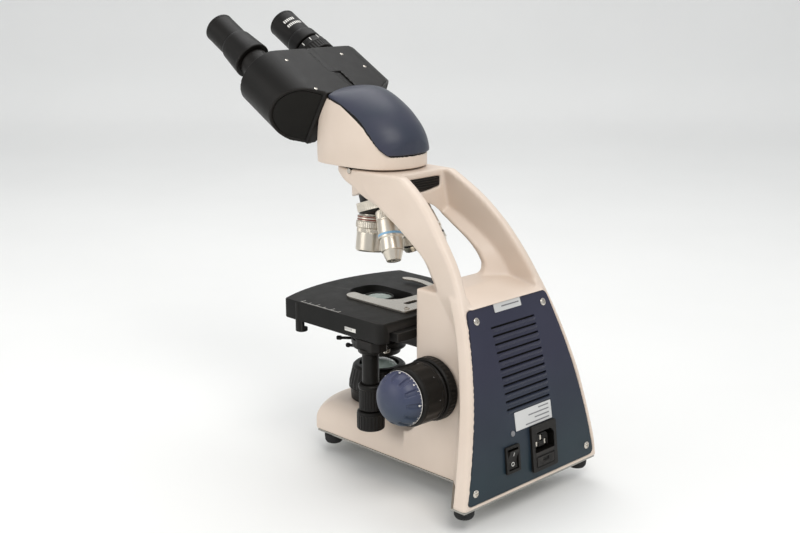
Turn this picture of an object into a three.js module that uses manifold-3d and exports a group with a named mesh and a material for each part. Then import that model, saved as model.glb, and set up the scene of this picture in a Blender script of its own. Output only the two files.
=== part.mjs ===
// Compound microscope with a binocular head, four objectives, mechanical stage and built-in lamp.
// Millimetres, +Z up. The user sits on the -Y side; the mains panel is on the +Y side.
// The model is drawn from the rear bottom edge (y = 0) and then moved so that the
// origin is the middle of its bounding box on the table.

import * as THREE from 'three';
import { mergeVertices } from 'three/addons/utils/BufferGeometryUtils.js';
import Module from 'manifold-3d';

// ---------------------------------------------------------------- driving dimensions

const GAP = 0.3;                 // clearance between touching pieces
const OPTICAL_Y = -178;          // optical axis, vertical
const COLUMN_HALF = 44.5;        // half width of column and tongue
const COLUMN_FRONT = -89.5;
const COLUMN_TOP = 163;
const TONGUE_FRONT = -213;
const TONGUE_BULGE = 17;         // how far the tongue's front edge bows out
const TONGUE_TOP = 38;
const CAST_BOTTOM = 10.1;
const FOOT_HEIGHT = 8;
const PLATFORM_TOP = 247;
const PLATFORM_HALF = 33;

const KNOB_Y = -68;              // focus shaft
const KNOB_Z = 85;
const SHAFT_BORE = 4.5;

const STAGE_TOP = 134;
const STAGE_HALF = 70;
const STAGE_REAR = -104;
const STAGE_FRONT = -222;
const STAGE_BULGE = 15;
const XY_CONTROL = [62, -124];   // shared axis of the two stage knobs
const FINGER_PIVOT = [-28, -131];

const CONDENSER_KNOB = [-8.5, -124, 103.5];
const FILTER_PIVOT = [-22.2, OPTICAL_Y];
const DIAL = [0, -120, 26];      // brightness dial, on the left flank

const TURRET_TILT = 17.5;        // degrees from vertical
const TURRET_Y = -159;
const TURRET_Z = 210;
const SEAT_RADIUS = 20;          // turret axis to objective axis
const TURRET_REST = 30.7;        // degrees past the nearest click

const VIEW_TILT = 30;            // inclination of the eyepieces
const HINGE = [0, -218.3, 283.9];
const HALF_IPD = 38;             // half the eyepiece spacing
const HOUSING_HALF = 27;         // half depth of a prism housing
const HOUSING_ROUND = 40;        // centre of a prism housing's round side
const HOUSING_END = 68;
const KNUCKLE_SPLIT = 30.3;      // where the two hinge knuckles meet

// Side ribs: height, rear edge, front edge, half width at the rear and at the front.
const RIB = [
  { z: 10.1, rear: 0.6, front: -47, half: 83.5, nose: 44.8 },
  { z: 30, rear: -0.2, front: -45.5, half: 80.2, nose: 44.8 },
  { z: 69, rear: -5.2, front: -41.5, half: 71.4, nose: 44.8 },
  { z: 98, rear: -11.3, front: -41.8, half: 65, nose: 44.8 },
  { z: 134, rear: -22.8, front: -46.8, half: 56.4, nose: 44.8 },
  { z: 163.6, rear: -36.5, front: -65.5, half: 49.8, nose: 44.8 },
  { z: 185, rear: -49, front: -81.5, half: 45.8, nose: 43 },
  { z: 205, rear: -65, front: -111.8, half: 43, nose: 40.2 },
  { z: 220, rear: -79.4, front: -141, half: 39.6, nose: 36.5 },
  { z: 231, rear: -92.5, front: -160, half: 36.8, nose: 34.3 },
  { z: 242, rear: -109.5, front: -162, half: 34, nose: 33.5 },
  { z: 247, rear: -119, front: -164, half: 33.5, nose: 33.5 },
];
const WING_FOOT = 163.3;         // where the free part of a rib begins
const WING_THICKNESS = 6.5;

// Rear panel surface: height and depth.
const PANEL_CURVE = [[8, 0], [40, -2.1], [69, -6.2], [98, -12.4], [126, -20.8], [156, -31.6]];

// ---------------------------------------------------------------- materials

const paint = (color, roughness, metalness = 0) =>
  new THREE.MeshStandardMaterial({ color, roughness, metalness });

const IVORY = paint(0xd7c7b6, 0.45);
const BLUE = paint(0x44465a, 0.5);
const KNOB_BLUE = paint(0x55586e, 0.4);
const BLACK = paint(0x1c1c1a, 0.5);
const BLACK_METAL = paint(0x222221, 0.4, 0.4);
const RUBBER = paint(0x141414, 0.9);
const STEEL = paint(0xb5b3ae, 0.3, 0.9);
const CHROME = paint(0xd6d2c8, 0.2, 1);
const BRASS = paint(0xb08d4c, 0.35, 0.9);
const GLASS = paint(0xcfe0d8, 0.1);
const BOARD = paint(0x2f5a3c, 0.6);

// ---------------------------------------------------------------- solids from three.js geometry

const wasm = await Module();
wasm.setup();

function signedVolume(position, index) {
  const a = new THREE.Vector3();
  const b = new THREE.Vector3();
  const c = new THREE.Vector3();
  let volume = 0;
  for (let i = 0; i < index.length; i += 3) {
    a.fromArray(position, 3 * index[i]);
    b.fromArray(position, 3 * index[i + 1]);
    c.fromArray(position, 3 * index[i + 2]);
    volume += a.dot(b.cross(c));
  }
  return volume;
}

// A manifold solid from a closed geometry, with its faces turned outwards.
function solid(geometry) {
  const plain = geometry.clone();
  plain.deleteAttribute('normal');
  plain.deleteAttribute('uv');
  const merged = mergeVertices(plain, 1e-4);
  const position = merged.attributes.position.array;
  const index = [];
  for (let i = 0; i < merged.index.count; i += 3) {
    const [a, b, c] = [0, 1, 2].map((k) => merged.index.getX(i + k));
    if (a !== b && b !== c && c !== a) index.push(a, b, c);
  }
  if (signedVolume(position, index) < 0) index.reverse();
  return new wasm.Manifold(new wasm.Mesh({
    numProp: 3,
    vertProperties: position,
    triVerts: new Uint32Array(index),
  }));
}

function outline(points, holes = []) {
  const shape = new THREE.Shape(points.map(([u, v]) => new THREE.Vector2(u, v)));
  shape.holes = holes.map((hole) => new THREE.Path(hole.map(([u, v]) => new THREE.Vector2(u, v))));
  return shape;
}

function extruded(points, depth, matrix) {
  const geometry = new THREE.ExtrudeGeometry(outline(points), { depth, bevelEnabled: false });
  return solid(geometry.applyMatrix4(matrix));
}

const axis = (x, y, z) => new THREE.Vector3(x, y, z);

function basis(ex, ey, ez, origin) {
  return new THREE.Matrix4().makeBasis(ex, ey, ez).setPosition(...origin);
}

// Outline in XY, between two heights.
const slabZ = (points, z0, z1) =>
  extruded(points, z1 - z0, new THREE.Matrix4().makeTranslation(0, 0, z0));

// Outline in YZ, between two X planes.
const slabX = (points, x0, x1) =>
  extruded(points, x1 - x0, basis(axis(0, 1, 0), axis(0, 0, 1), axis(1, 0, 0), [x0, 0, 0]));

// Outline in XZ, between two Y planes.
const slabY = (points, y0, y1) =>
  extruded(points, y1 - y0, basis(axis(1, 0, 0), axis(0, 0, 1), axis(0, -1, 0), [0, y1, 0]));

function block(x0, x1, y0, y1, z0, z1) {
  const geometry = new THREE.BoxGeometry(x1 - x0, y1 - y0, z1 - z0);
  geometry.translate((x0 + x1) / 2, (y0 + y1) / 2, (z0 + z1) / 2);
  return solid(geometry);
}

// Profile of [radius, height] turned about Z, then placed.
function turned(profile, segments = 32, matrix = new THREE.Matrix4()) {
  const points = profile.map(([r, h]) => new THREE.Vector2(r, h));
  const geometry = new THREE.LatheGeometry(points, segments);
  geometry.rotateX(Math.PI / 2);
  return solid(geometry.applyMatrix4(matrix));
}

const rod = (radius, z0, z1, segments = 32, matrix = undefined) =>
  turned([[0, z0], [radius, z0], [radius, z1], [0, z1]], segments, matrix);

const tube = (inner, outer, z0, z1, segments = 32, matrix = undefined) =>
  turned([[inner, z0], [outer, z0], [outer, z1], [inner, z1], [inner, z0]], segments, matrix);

// Frame whose Z runs along +X, for what turns on the focus shaft.
const alongX = (x, y, z) => basis(axis(0, 1, 0), axis(0, 0, 1), axis(1, 0, 0), [x, y, z]);
const upright = (x, y, z = 0) => new THREE.Matrix4().makeTranslation(x, y, z);

// Closed skin over rings of equal point count; the end rings are capped.
function lofted(drawnRings) {
  const clockwise = THREE.ShapeUtils.area(capPlane(drawnRings[0])) < 0;
  const rings = clockwise ? drawnRings.map((ring) => [...ring].reverse()) : drawnRings;
  const count = rings[0].length;
  const position = rings.flat(2);
  const index = [];
  for (let r = 0; r + 1 < rings.length; r += 1) {
    for (let i = 0; i < count; i += 1) {
      const a = r * count + i;
      const b = r * count + ((i + 1) % count);
      index.push(a, b, b + count, a, b + count, a + count);
    }
  }
  const capOf = (ring, offset, flip) => {
    const ends = capPlane(ring);
    for (const [a, b, c] of THREE.ShapeUtils.triangulateShape(ends, [])) {
      index.push(offset + a, offset + (flip ? c : b), offset + (flip ? b : c));
    }
  };
  capOf(rings[0], 0, true);
  capOf(rings[rings.length - 1], (rings.length - 1) * count, false);
  const geometry = new THREE.BufferGeometry();
  geometry.setAttribute('position', new THREE.Float32BufferAttribute(position, 3));
  geometry.setIndex(index);
  return solid(geometry);
}

// The ring's points in the plane of the two axes that it spans.
function capPlane(ring) {
  const spans = [0, 1, 2].map((k) => {
    const values = ring.map((point) => point[k]);
    return Math.max(...values) - Math.min(...values);
  });
  const flat = spans.indexOf(Math.min(...spans));
  const [u, v] = [[1, 2], [2, 0], [0, 1]][flat];
  return ring.map((point) => new THREE.Vector2(point[u], point[v]));
}

const union = (...solids) => solids.reduce((a, b) => a.add(b));
const cut = (body, ...tools) => tools.reduce((a, b) => a.subtract(b), body);

const microscope = new THREE.Group();

function part(name, body, material, parent = microscope) {
  const { vertProperties, triVerts } = body.getMesh();
  const geometry = new THREE.BufferGeometry();
  geometry.setAttribute('position', new THREE.Float32BufferAttribute(vertProperties, 3));
  geometry.setIndex(new THREE.Uint32BufferAttribute(triVerts, 1));
  geometry.computeVertexNormals();
  const mesh = new THREE.Mesh(geometry, material);
  mesh.name = name;
  parent.add(mesh);
}

// ---------------------------------------------------------------- shared outlines

const arcPoints = (cx, cy, r, from, to, steps) =>
  Array.from({ length: steps + 1 }, (_, i) => {
    const a = THREE.MathUtils.degToRad(from + ((to - from) * i) / steps);
    return [cx + r * Math.cos(a), cy + r * Math.sin(a)];
  });

// Front edge bowed out by a circular arc, from +x to -x.
function bowedFront(half, front, bulge, steps) {
  const radius = (half * half + bulge * bulge) / (2 * bulge);
  const spread = THREE.MathUtils.radToDeg(Math.asin(half / radius));
  return arcPoints(0, front - bulge + radius, radius, -90 + spread, -90 - spread, steps);
}

function roundedBox(x0, x1, y0, y1, r, steps = 4) {
  return [
    ...arcPoints(x1 - r, y1 - r, r, 0, 90, steps),
    ...arcPoints(x0 + r, y1 - r, r, 90, 180, steps),
    ...arcPoints(x0 + r, y0 + r, r, 180, 270, steps),
    ...arcPoints(x1 - r, y0 + r, r, 270, 360, steps),
  ];
}

const lerp = THREE.MathUtils.lerp;

function along(table, z) {
  const next = Math.max(1, table.findIndex(([height]) => height >= z));
  const [z0, y0] = table[next - 1];
  const [z1, y1] = table[next];
  return lerp(y0, y1, (z - z0) / (z1 - z0));
}

// ---------------------------------------------------------------- stand

// Solid of the panel recess: between the panel curve less a depth, and well behind.
function panelStrip(inFront, behind, grow) {
  const curve = PANEL_CURVE.map(([z, y]) => [y + behind, z]);
  const back = PANEL_CURVE.map(([z, y]) => [y - inFront, z]).reverse();
  const strip = slabX([...curve, ...back], -90, 90);
  const low = 79 + grow;
  const high = 47 + grow;
  const frame = [[low, 13 - grow], [high, 156 + grow], [-high, 156 + grow], [-low, 13 - grow]];
  return strip.intersect(slabY(clippedCorners(frame, 5), -60, 30));
}

// Polygon with each corner replaced by a short chamfer.
function clippedCorners(points, size) {
  return points.flatMap((point, i) => {
    const before = points[(i + points.length - 1) % points.length];
    const after = points[(i + 1) % points.length];
    return [before, after].map((other) => {
      const length = Math.hypot(other[0] - point[0], other[1] - point[1]);
      return [0, 1].map((k) => point[k] + ((other[k] - point[k]) * size) / length);
    });
  });
}

// Tongue with vertical sides and a rounded top edge.
function tongue() {
  const rounding = 18;
  const levels = [[CAST_BOTTOM, 0], [TONGUE_TOP - rounding, 0]];
  for (const degrees of [30, 60, 90]) {
    const a = THREE.MathUtils.degToRad(degrees);
    levels.push([TONGUE_TOP - rounding + rounding * Math.sin(a), rounding * (1 - Math.cos(a))]);
  }
  return lofted(levels.map(([z, inset]) => {
    const half = COLUMN_HALF - inset;
    const front = bowedFront(half, TONGUE_FRONT + inset, TONGUE_BULGE * (half / COLUMN_HALF), 8);
    return [[-half, -60], [half, -60], ...front].map(([x, y]) => [x, y, z]);
  }));
}

function baseCasting() {
  const rearTop = along(PANEL_CURVE, 155);
  const column = slabX([
    [COLUMN_FRONT - 14, TONGUE_TOP - 1], [COLUMN_FRONT - 4, TONGUE_TOP + 3],
    [COLUMN_FRONT, TONGUE_TOP + 14], [COLUMN_FRONT, COLUMN_TOP], [-62, COLUMN_TOP],
    [rearTop + 1.2, 157], [-22.8, 134], [-11.3, 98], [-5.2, 69], [-0.2, 30], [0.6, CAST_BOTTOM],
    [COLUMN_FRONT - 14, CAST_BOTTOM],
  ], -COLUMN_HALF, COLUMN_HALF);
  const cavity = slabX([
    [-83, 6], [-83, 148], [-50, 148], [-33, 140], [-21.5, 110], [-12, 70], [-6, 20], [-6, 6],
  ], -38, 38);
  const tongueCavity = block(-36, 36, -204, -70, 6, 31);
  const panelOpening = slabY([[34, 16], [34, 128], [-34, 128], [-34, 16]], -30, 10);
  const rackSlot = block(-8, 8, -92, -80, 56, 150);
  const shaftBore = rod(8, -60, 60, 24, alongX(0, KNOB_Y, KNOB_Z));
  const lightBore = rod(15, 20, 50, 24, upright(0, OPTICAL_Y));
  const dialBore = rod(4.2, -50, -30, 16, alongX(...DIAL));
  return cut(union(tongue(), column), cavity, tongueCavity, panelOpening, rackSlot,
    shaftBore, lightBore, dialBore, panelStrip(2.3, 20, GAP));
}

// One side rib: a gusset against the column below, a free wing above it.
function rib(side) {
  const wall = COLUMN_HALF + GAP;
  const gusset = RIB.filter(({ z }) => z < 170).map(({ z, rear, front, half }) => {
    const ring = [
      [wall, front], [half + 0.5, rear - 15], [half, rear - 3], [half - 3, rear], [wall, rear],
    ];
    return ring.map(([x, y]) => [side * x, y, z]);
  });
  const wing = RIB.filter(({ z }) => z > 160).map(({ z, rear, front, half, nose }, i) => {
    const ring = [
      [nose, front], [lerp(nose, half, 0.75), lerp(front, rear, 0.7)], [half, rear - 3],
      [half - 3, rear], [half - 7, rear + 0.5], [half - 9, rear - 4],
      [lerp(nose - WING_THICKNESS, half - 9, 0.4), lerp(front, rear, 0.5)],
      [nose - WING_THICKNESS, front + 2],
    ];
    return ring.map(([x, y]) => [side * x, y, i === 0 ? WING_FOOT : z]);
  });
  return union(lofted(gusset), lofted(wing));
}

const turretFrame = () => {
  const a = THREE.MathUtils.degToRad(TURRET_TILT);
  const down = axis(0, Math.sin(a), -Math.cos(a));
  const front = axis(0, -Math.cos(a), -Math.sin(a));
  const right = new THREE.Vector3().crossVectors(front, down);
  return basis(right, front, down, [0, TURRET_Y, TURRET_Z]);
};

// Everything that the turret and its objectives sweep, with clearance.
const turretSweep = () => turned([
  [0, -19.2], [29.3, -19.2], [29.3, -12.4], [31.6, -12.4], [32.4, -3], [35, 2],
  [38.6, 10], [43.5, 42], [0, 42],
], 32, turretFrame());

function armCasting() {
  const platformSide = [
    [-213, PLATFORM_TOP], [-126, PLATFORM_TOP], [-126, 208.5], [-134, 212.5], [-145, 219.3],
    [-162, 225.4], [-176, 232], [-185, 235.7], [-197, 240.5], [-213, 242],
  ];
  const plan = [
    ...arcPoints(0, OPTICAL_Y - 2, PLATFORM_HALF, 180, 360, 16),
    [PLATFORM_HALF + 1, -150], [PLATFORM_HALF + 1, -120],
    [-PLATFORM_HALF - 1, -120], [-PLATFORM_HALF - 1, -150],
  ];
  const platform = slabX(platformSide, -36, 36).intersect(slabZ(plan, 200, 250));
  const belowTurret = rod(60, -19.2, 60, 24, turretFrame());
  const boss = cut(rod(29, 200, 243, 28, upright(0, -169)), belowTurret);
  const bore = rod(14, 210, 250, 24, upright(0, OPTICAL_Y));
  const socket = rod(22, 243, 250, 24, upright(0, OPTICAL_Y));
  const lockBore = rod(2.6, 18, 40, 12, alongX(0, OPTICAL_Y - 2, 245));
  const slot = slabY([[22, 241], [-22, 241], [-22, 233], [0, 230], [22, 233]], -130, -120);
  const collarPocket = rod(26.4, -54.6, 54.6, 28, alongX(0, KNOB_Y, KNOB_Z));
  return cut(union(platform, boss, rib(1), rib(-1)), bore, socket, lockBore, slot, collarPocket,
    turretSweep(), panelStrip(2.3, 20, GAP));
}

function plateOutline(inset) {
  const half = COLUMN_HALF - inset;
  return [
    ...bowedFront(half, TONGUE_FRONT + inset, TONGUE_BULGE, 8), [-half, -48],
    [-83 + inset, -15], [-83 + inset, -inset], [83 - inset, -inset], [83 - inset, -15], [half, -48],
  ];
}

function stand() {
  part('base_casting', baseCasting(), IVORY);
  part('arm_casting', armCasting(), IVORY);
  part('bottom_plate', slabZ(plateOutline(1), FOOT_HEIGHT, CAST_BOTTOM - GAP), STEEL);
  const foot = (x, y) => turned([[0, 0], [6.5, 0], [8, 2.5], [8.3, 7.7], [0, 7.7]], 12, upright(x, y));
  for (const [side, s] of [['right', 1], ['left', -1]]) {
    part(`foot_front_${side}`, foot(s * 37, -198), RUBBER);
    part(`foot_rear_${side}`, foot(s * 71, -11), RUBBER);
  }
  const insert = slabY([[21.5, 240.5], [-21.5, 240.5], [-21.5, 233.4], [0, 230.6], [21.5, 233.4]],
    -129.6, -125.6);
  part('handle_insert', insert, BLACK);
  part('head_lock_screw', rod(2.2, 22.4, 32.6, 12, alongX(0, OPTICAL_Y - 2, 245)), STEEL);
}

// ---------------------------------------------------------------- rear panel and electrics

// Switch and inlet are drawn in a frame that lies on the sloping panel.
const PANEL_FITTINGS = { y: -2.2, z: 38, tilt: THREE.MathUtils.degToRad(6.2) };
const SWITCH = { x0: 17.5, x1: 34.5, z0: -11.5, z1: 10.5 };
const INLET = { x0: -28, x1: 3, z0: -19, z1: 19 };
const LOUVRES = { count: 11, lowest: 75.5, pitch: 6.3, half: 26.5 };
const PANEL_SCREWS = [[40.5, 147], [-40.5, 147], [69.5, 22], [-69.5, 22]];

function rearPanel() {
  const slots = Array.from({ length: LOUVRES.count }, (_, i) => {
    const z = LOUVRES.lowest + i * LOUVRES.pitch;
    return slabY(roundedBox(-LOUVRES.half, LOUVRES.half, z - 1.1, z + 1.1, 1, 1), -40, 10);
  });
  const openings = [SWITCH, INLET].map(({ x0, x1, z0, z1 }) => {
    const middle = PANEL_FITTINGS.z;
    return block(x0 + 1.2, x1 - 1.2, -12, 10, middle + z0 + 1.2, middle + z1 - 1.2);
  });
  const holes = PANEL_SCREWS.map(([x, z]) => slabY(arcPoints(x, z, 1.8, 0, 330, 11), -40, 10));
  return cut(panelStrip(2, 0, 0), ...slots, ...openings, ...holes);
}

function electrics() {
  part('rear_panel', rearPanel(), BLUE);

  const fittings = new THREE.Group();
  fittings.position.set(0, PANEL_FITTINGS.y, PANEL_FITTINGS.z);
  fittings.rotation.x = PANEL_FITTINGS.tilt;
  microscope.add(fittings);

  const { x0, x1, z0, z1 } = SWITCH;
  const midZ = (z0 + z1) / 2;
  const bezelRim = slabY(roundedBox(x0, x1, z0, z1, 1.5, 2), 0.4, 2);
  const bezelBody = block(x0 + 2, x1 - 2, -16, 0.5, z0 + 2, z1 - 2);
  const window = block(x0 + 2.6, x1 - 2.6, -10, 5, z0 + 2.6, z1 - 2.6);
  part('switch_bezel', cut(union(bezelRim, bezelBody), window), BLACK, fittings);
  const rocker = slabX([
    [-4.5, midZ - 5.4], [1.4, midZ - 7.7], [1.7, midZ], [4.2, midZ + 7.4], [-2.5, midZ + 5.8],
    [-6, midZ],
  ], x0 + 3.2, x1 - 3.2);
  part('switch_rocker', rocker, BLACK, fittings);

  const flange = slabY(roundedBox(INLET.x0, INLET.x1, INLET.z0, INLET.z1, 2, 2), 0.4, 2.2);
  const shell = block(INLET.x0 + 2, INLET.x1 - 2, -24, 0.5, INLET.z0 + 2, INLET.z1 - 2);
  const inletX = (INLET.x0 + INLET.x1) / 2;
  const socket = slabY(clippedCorners(
    [[inletX + 12, -4], [inletX + 12, 13], [inletX - 12, 13], [inletX - 12, -4]], 3), -16, 6);
  const drawerBay = block(inletX - 11, inletX + 11, -15, 6, -15.5, -7.5);
  part('inlet_housing', cut(union(flange, shell), socket, drawerBay), BLACK, fittings);
  const drawer = union(block(inletX - 10.6, inletX + 10.6, -14, 2.6, -15.1, -7.9),
    block(inletX - 4, inletX + 4, 2.5, 3.4, -13.5, -9.5));
  part('fuse_drawer', drawer, BLACK, fittings);

  const board = union(block(-31, 31, -52, -27, 12.4, 14), block(-28, -6, -48, -30, 13.9, 30),
    block(6, 24, -46, -30, 13.9, 24));
  part('power_board', board, BOARD);
  const onAxis = upright(0, OPTICAL_Y);
  part('lamp', union(rod(12, 11, 24, 24, onAxis), rod(6, 23.9, 29, 16, onAxis)), STEEL);

  const housing = turned([
    [18, TONGUE_TOP + GAP], [25, TONGUE_TOP + GAP], [25.5, 48], [27, 49], [26.6, 54], [23.2, 68.5],
    [21.5, 70], [17.4, 70], [17.4, 61], [15, 61], [15, 42], [18, TONGUE_TOP + GAP],
  ], 28, onAxis);
  part('illuminator_housing', housing, BLACK);
  const lens = turned([[0, 61.4], [17, 61.4], [17, 68], [12, 71.2], [6, 72.6], [0, 73]], 24, onAxis);
  part('field_lens', lens, GLASS);
  const dialFrame = alongX(...DIAL);
  part('brightness_dial', union(rod(9, -56, -44.9, 24, dialFrame), rod(3, -45, -34, 12, dialFrame)), BLACK);
}

// ---------------------------------------------------------------- focus drive

function knobProfile(side, profile) {
  return turned(profile.map(([r, h]) => [r, side * h]), 28, alongX(0, KNOB_Y, KNOB_Z));
}

function gear(radius, depth, teeth, x0, x1, bore) {
  const points = Array.from({ length: teeth * 4 }, (_, i) => {
    const tip = i % 4 < 2 ? radius : radius - depth;
    const a = (2 * Math.PI * (i + 0.5)) / (teeth * 4);
    return [KNOB_Y + tip * Math.cos(a), KNOB_Z + tip * Math.sin(a)];
  });
  return cut(slabX(points, x0, x1), rod(bore, x0 - 1, x1 + 1, 16, alongX(0, KNOB_Y, KNOB_Z)));
}

function focusDrive() {
  const collar = (side) => knobProfile(side, [
    [SHAFT_BORE, 45], [25, 45], [26, 46.5], [26, 52], [24.5, 54.2], [SHAFT_BORE, 54.2], [SHAFT_BORE, 45],
  ]);
  part('tension_ring', collar(1), BLACK);
  part('left_focus_collar', collar(-1), BLACK);
  part('coarse_shaft', tube(2.9, 4.2, -55.6, 55.6, 24, alongX(0, KNOB_Y, KNOB_Z)), STEEL);
  part('focus_pinion', gear(6.8, 1.4, 14, -6, 6, SHAFT_BORE), BRASS);
  const coarse = (side) => knobProfile(side, [
    [4.5, 54.7], [23.8, 54.7], [24.5, 56.5], [24.2, 78.5], [22.8, 80.2], [2.9, 80.2],
    [2.9, 57], [4.5, 56], [4.5, 54.7],
  ]);
  part('coarse_knob_right', coarse(1), BLACK);
  part('coarse_knob_left', coarse(-1), BLACK);
  const fine = (side) => knobProfile(side, [
    [2.8, 80.6], [22, 80.6], [22, 83], [21.2, 86.5], [18.4, 91.5], [14, 95.6], [8, 97.7], [0, 98.4],
    [0, 84.4], [2.8, 84.4], [2.8, 80.6],
  ]);
  part('fine_knob_right', fine(1), KNOB_BLUE);
  part('fine_knob_left', fine(-1), KNOB_BLUE);
  part('fine_shaft', rod(2.5, -84.1, 84.1, 20, alongX(0, KNOB_Y, KNOB_Z)), STEEL);
}

// ---------------------------------------------------------------- stage

function rack() {
  const pitch = 2.8;
  const tipY = -75.2;
  const points = [[-80, 62], [-80, 118]];
  for (let z = 118; z > 62.5; z -= pitch) {
    const rootY = tipY - 1.6;
    points.push([rootY, z], [tipY, z - pitch * 0.3], [tipY, z - pitch * 0.6], [rootY, z - pitch * 0.9]);
  }
  return slabX(points, -5, 5);
}

function stagePlan(inset) {
  const half = STAGE_HALF - inset;
  const front = bowedFront(half, STAGE_FRONT + inset, STAGE_BULGE, 12);
  return clippedRear([...front, [-half, STAGE_REAR - inset], [half, STAGE_REAR - inset]]);
}

// Cuts the two rear corners of the stage outline.
function clippedRear(points) {
  const chamfer = 4;
  const [left, right] = points.slice(-2);
  return [
    ...points.slice(0, -2),
    [left[0], left[1] - chamfer], [left[0] + chamfer, left[1]],
    [right[0] - chamfer, right[1]], [right[0], right[1] - chamfer],
  ];
}

function stage() {
  const carrier = union(block(-22, 22, -98, -90, 66, 125), block(-6, 6, -90.2, -80.3, 66, 116));
  part('stage_carrier', carrier, BLACK_METAL);
  part('focus_rack', rack(), STEEL);
  const bedOpening = block(-31, 31, -230, -140, 110, 130);
  part('stage_bed', cut(block(-56, 56, -196, -98.3, 117.5, 125.4), bedOpening), BLACK_METAL);

  const slot = slabZ(roundedBox(-18, 18, -204, -146, 17.5, 6), 110, 140);
  const pocket = slabZ(stagePlan(3.5), 110, 125.8);
  const rearWay = block(-60, 60, -120, -100, 110, 125.8);
  const lug = slabZ(arcPoints(66, -206, 5.2, 0, 345, 23), 107, STAGE_TOP);
  const plate = union(cut(slabZ(stagePlan(0), 117, STAGE_TOP), pocket, rearWay), lug);
  part('stage_plate', cut(plate, slot), BLACK_METAL);

  const controls = upright(...XY_CONTROL);
  const gearPlan = clippedCorners([[52, -138], [70, -138], [70, -110], [52, -110]], 5);
  const pillar = rod(5.6, 79.4, 104.6, 20, controls);
  part('stage_control_bracket', union(slabZ(gearPlan, 104.5, 116.7), pillar), BLACK);
  const upper = turned([[0, 56.4], [8, 56.4], [8.4, 58], [8.4, 77.5], [7.6, 79], [0, 79]], 20, controls);
  part('stage_y_knob', cut(upper, rod(2.6, 50, 60, 12, controls)), BLACK);
  const lower = turned([[0, 40], [9.4, 40], [10.4, 42], [10.4, 54.4], [9.6, 56], [0, 56]], 20, controls);
  part('stage_x_knob', union(lower, rod(2.2, 55.9, 59, 12, controls)), BLACK);

  const holder = cut(slabZ([
    [33.5, -113], [33.5, -181], [30, -187], [18, -189], [19.5, -176], [19.5, -150], [10, -143],
    [-24, -143], [-30, -146], [-34, -143], [-34, -120], [-20, -113],
  ], STAGE_TOP + GAP, STAGE_TOP + 2.3), rod(2.3, 130, 140, 12, upright(...FINGER_PIVOT)));
  part('slide_holder', holder, STEEL);
  const finger = union(slabZ([
    [-25, -127], [-25, -135], [-35, -151], [-40, -168], [-40.5, -180], [-37, -187], [-41, -190],
    [-46, -182], [-46, -166], [-40, -146], [-32, -133], [-31, -127],
  ], STAGE_TOP + 2.7, STAGE_TOP + 4.5),
  rod(2, STAGE_TOP + 0.6, STAGE_TOP + 6, 12, upright(...FINGER_PIVOT)));
  part('holder_finger', finger, STEEL);
}

// ---------------------------------------------------------------- condenser

function condenser() {
  const onAxis = upright(0, OPTICAL_Y);
  const ring = tube(24.2, 29, 99, 108, 28, onAxis);
  const arm = block(-11, 11, -151, -98.4, 99, 108);
  const knobFrame = alongX(...CONDENSER_KNOB);
  const knobBore = rod(2.4, -31.5, 8.5, 12, knobFrame);
  const clear = rod(24.2, 90, 115, 28, onAxis);
  part('condenser_mount', cut(union(ring, arm), clear, knobBore), BLACK_METAL);
  part('condenser_knob', union(rod(9, -15.5, -5, 24, knobFrame), rod(2, -5.1, 5.5, 12, knobFrame)), BLACK);
  const barrel = turned([
    [13, 86], [23.8, 86], [23.8, 88.8], [21.5, 89], [21.5, 94], [23.8, 94.2], [23.8, 116.6], [15, 121],
    [13.2, 131], [11.3, 131], [11.3, 124], [13, 120], [13, 86],
  ], 28, onAxis);
  const filterPivot = rod(1.5, 80, 86.4, 12, upright(...FILTER_PIVOT));
  part('condenser_barrel', union(barrel, filterPivot), BLACK_METAL);
  const lens = turned([[0, 124.3], [11, 124.3], [11, 130.6], [8, 131.3], [0, 131.6]], 24, onAxis);
  part('condenser_lens', lens, GLASS);
  const irisRing = tube(21.8, 24.6, 89.3, 93.7, 28, onAxis);
  part('iris_lever', union(irisRing, rod(1.3, 23, 38, 12, leverFrame(-50, 91.5))), BLACK);
  const eye = cut(rod(4.4, 80.6, 85.4, 16, upright(...FILTER_PIVOT)), rod(16, 79, 87, 32, onAxis));
  const holder = union(tube(15, 19, 80.6, 85.4, 28, onAxis), eye, rod(1.4, 17, 31, 12, leverFrame(-62, 83)));
  part('filter_holder', cut(holder, rod(1.8, 79, 87, 12, upright(...FILTER_PIVOT))), BLACK);
}

// Horizontal frame at the condenser axis, Z pointing out at an angle from +X.
function leverFrame(degrees, height) {
  const a = THREE.MathUtils.degToRad(degrees);
  const out = axis(Math.cos(a), Math.sin(a), 0);
  const side = new THREE.Vector3().crossVectors(axis(0, 0, 1), out);
  return basis(side, axis(0, 0, 1).negate(), out, [0, OPTICAL_Y, height]).multiply(
    new THREE.Matrix4().makeRotationZ(Math.PI));
}

// ---------------------------------------------------------------- nosepiece

// Frame of one seat: Z runs out along the objective.
function seatFrame(degrees) {
  const turn = new THREE.Matrix4().makeRotationZ(-THREE.MathUtils.degToRad(degrees + TURRET_REST));
  const out = new THREE.Matrix4().makeTranslation(0, SEAT_RADIUS, 0);
  const lean = new THREE.Matrix4().makeRotationX(-THREE.MathUtils.degToRad(TURRET_TILT));
  return turretFrame().multiply(turn).multiply(out).multiply(lean);
}

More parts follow.
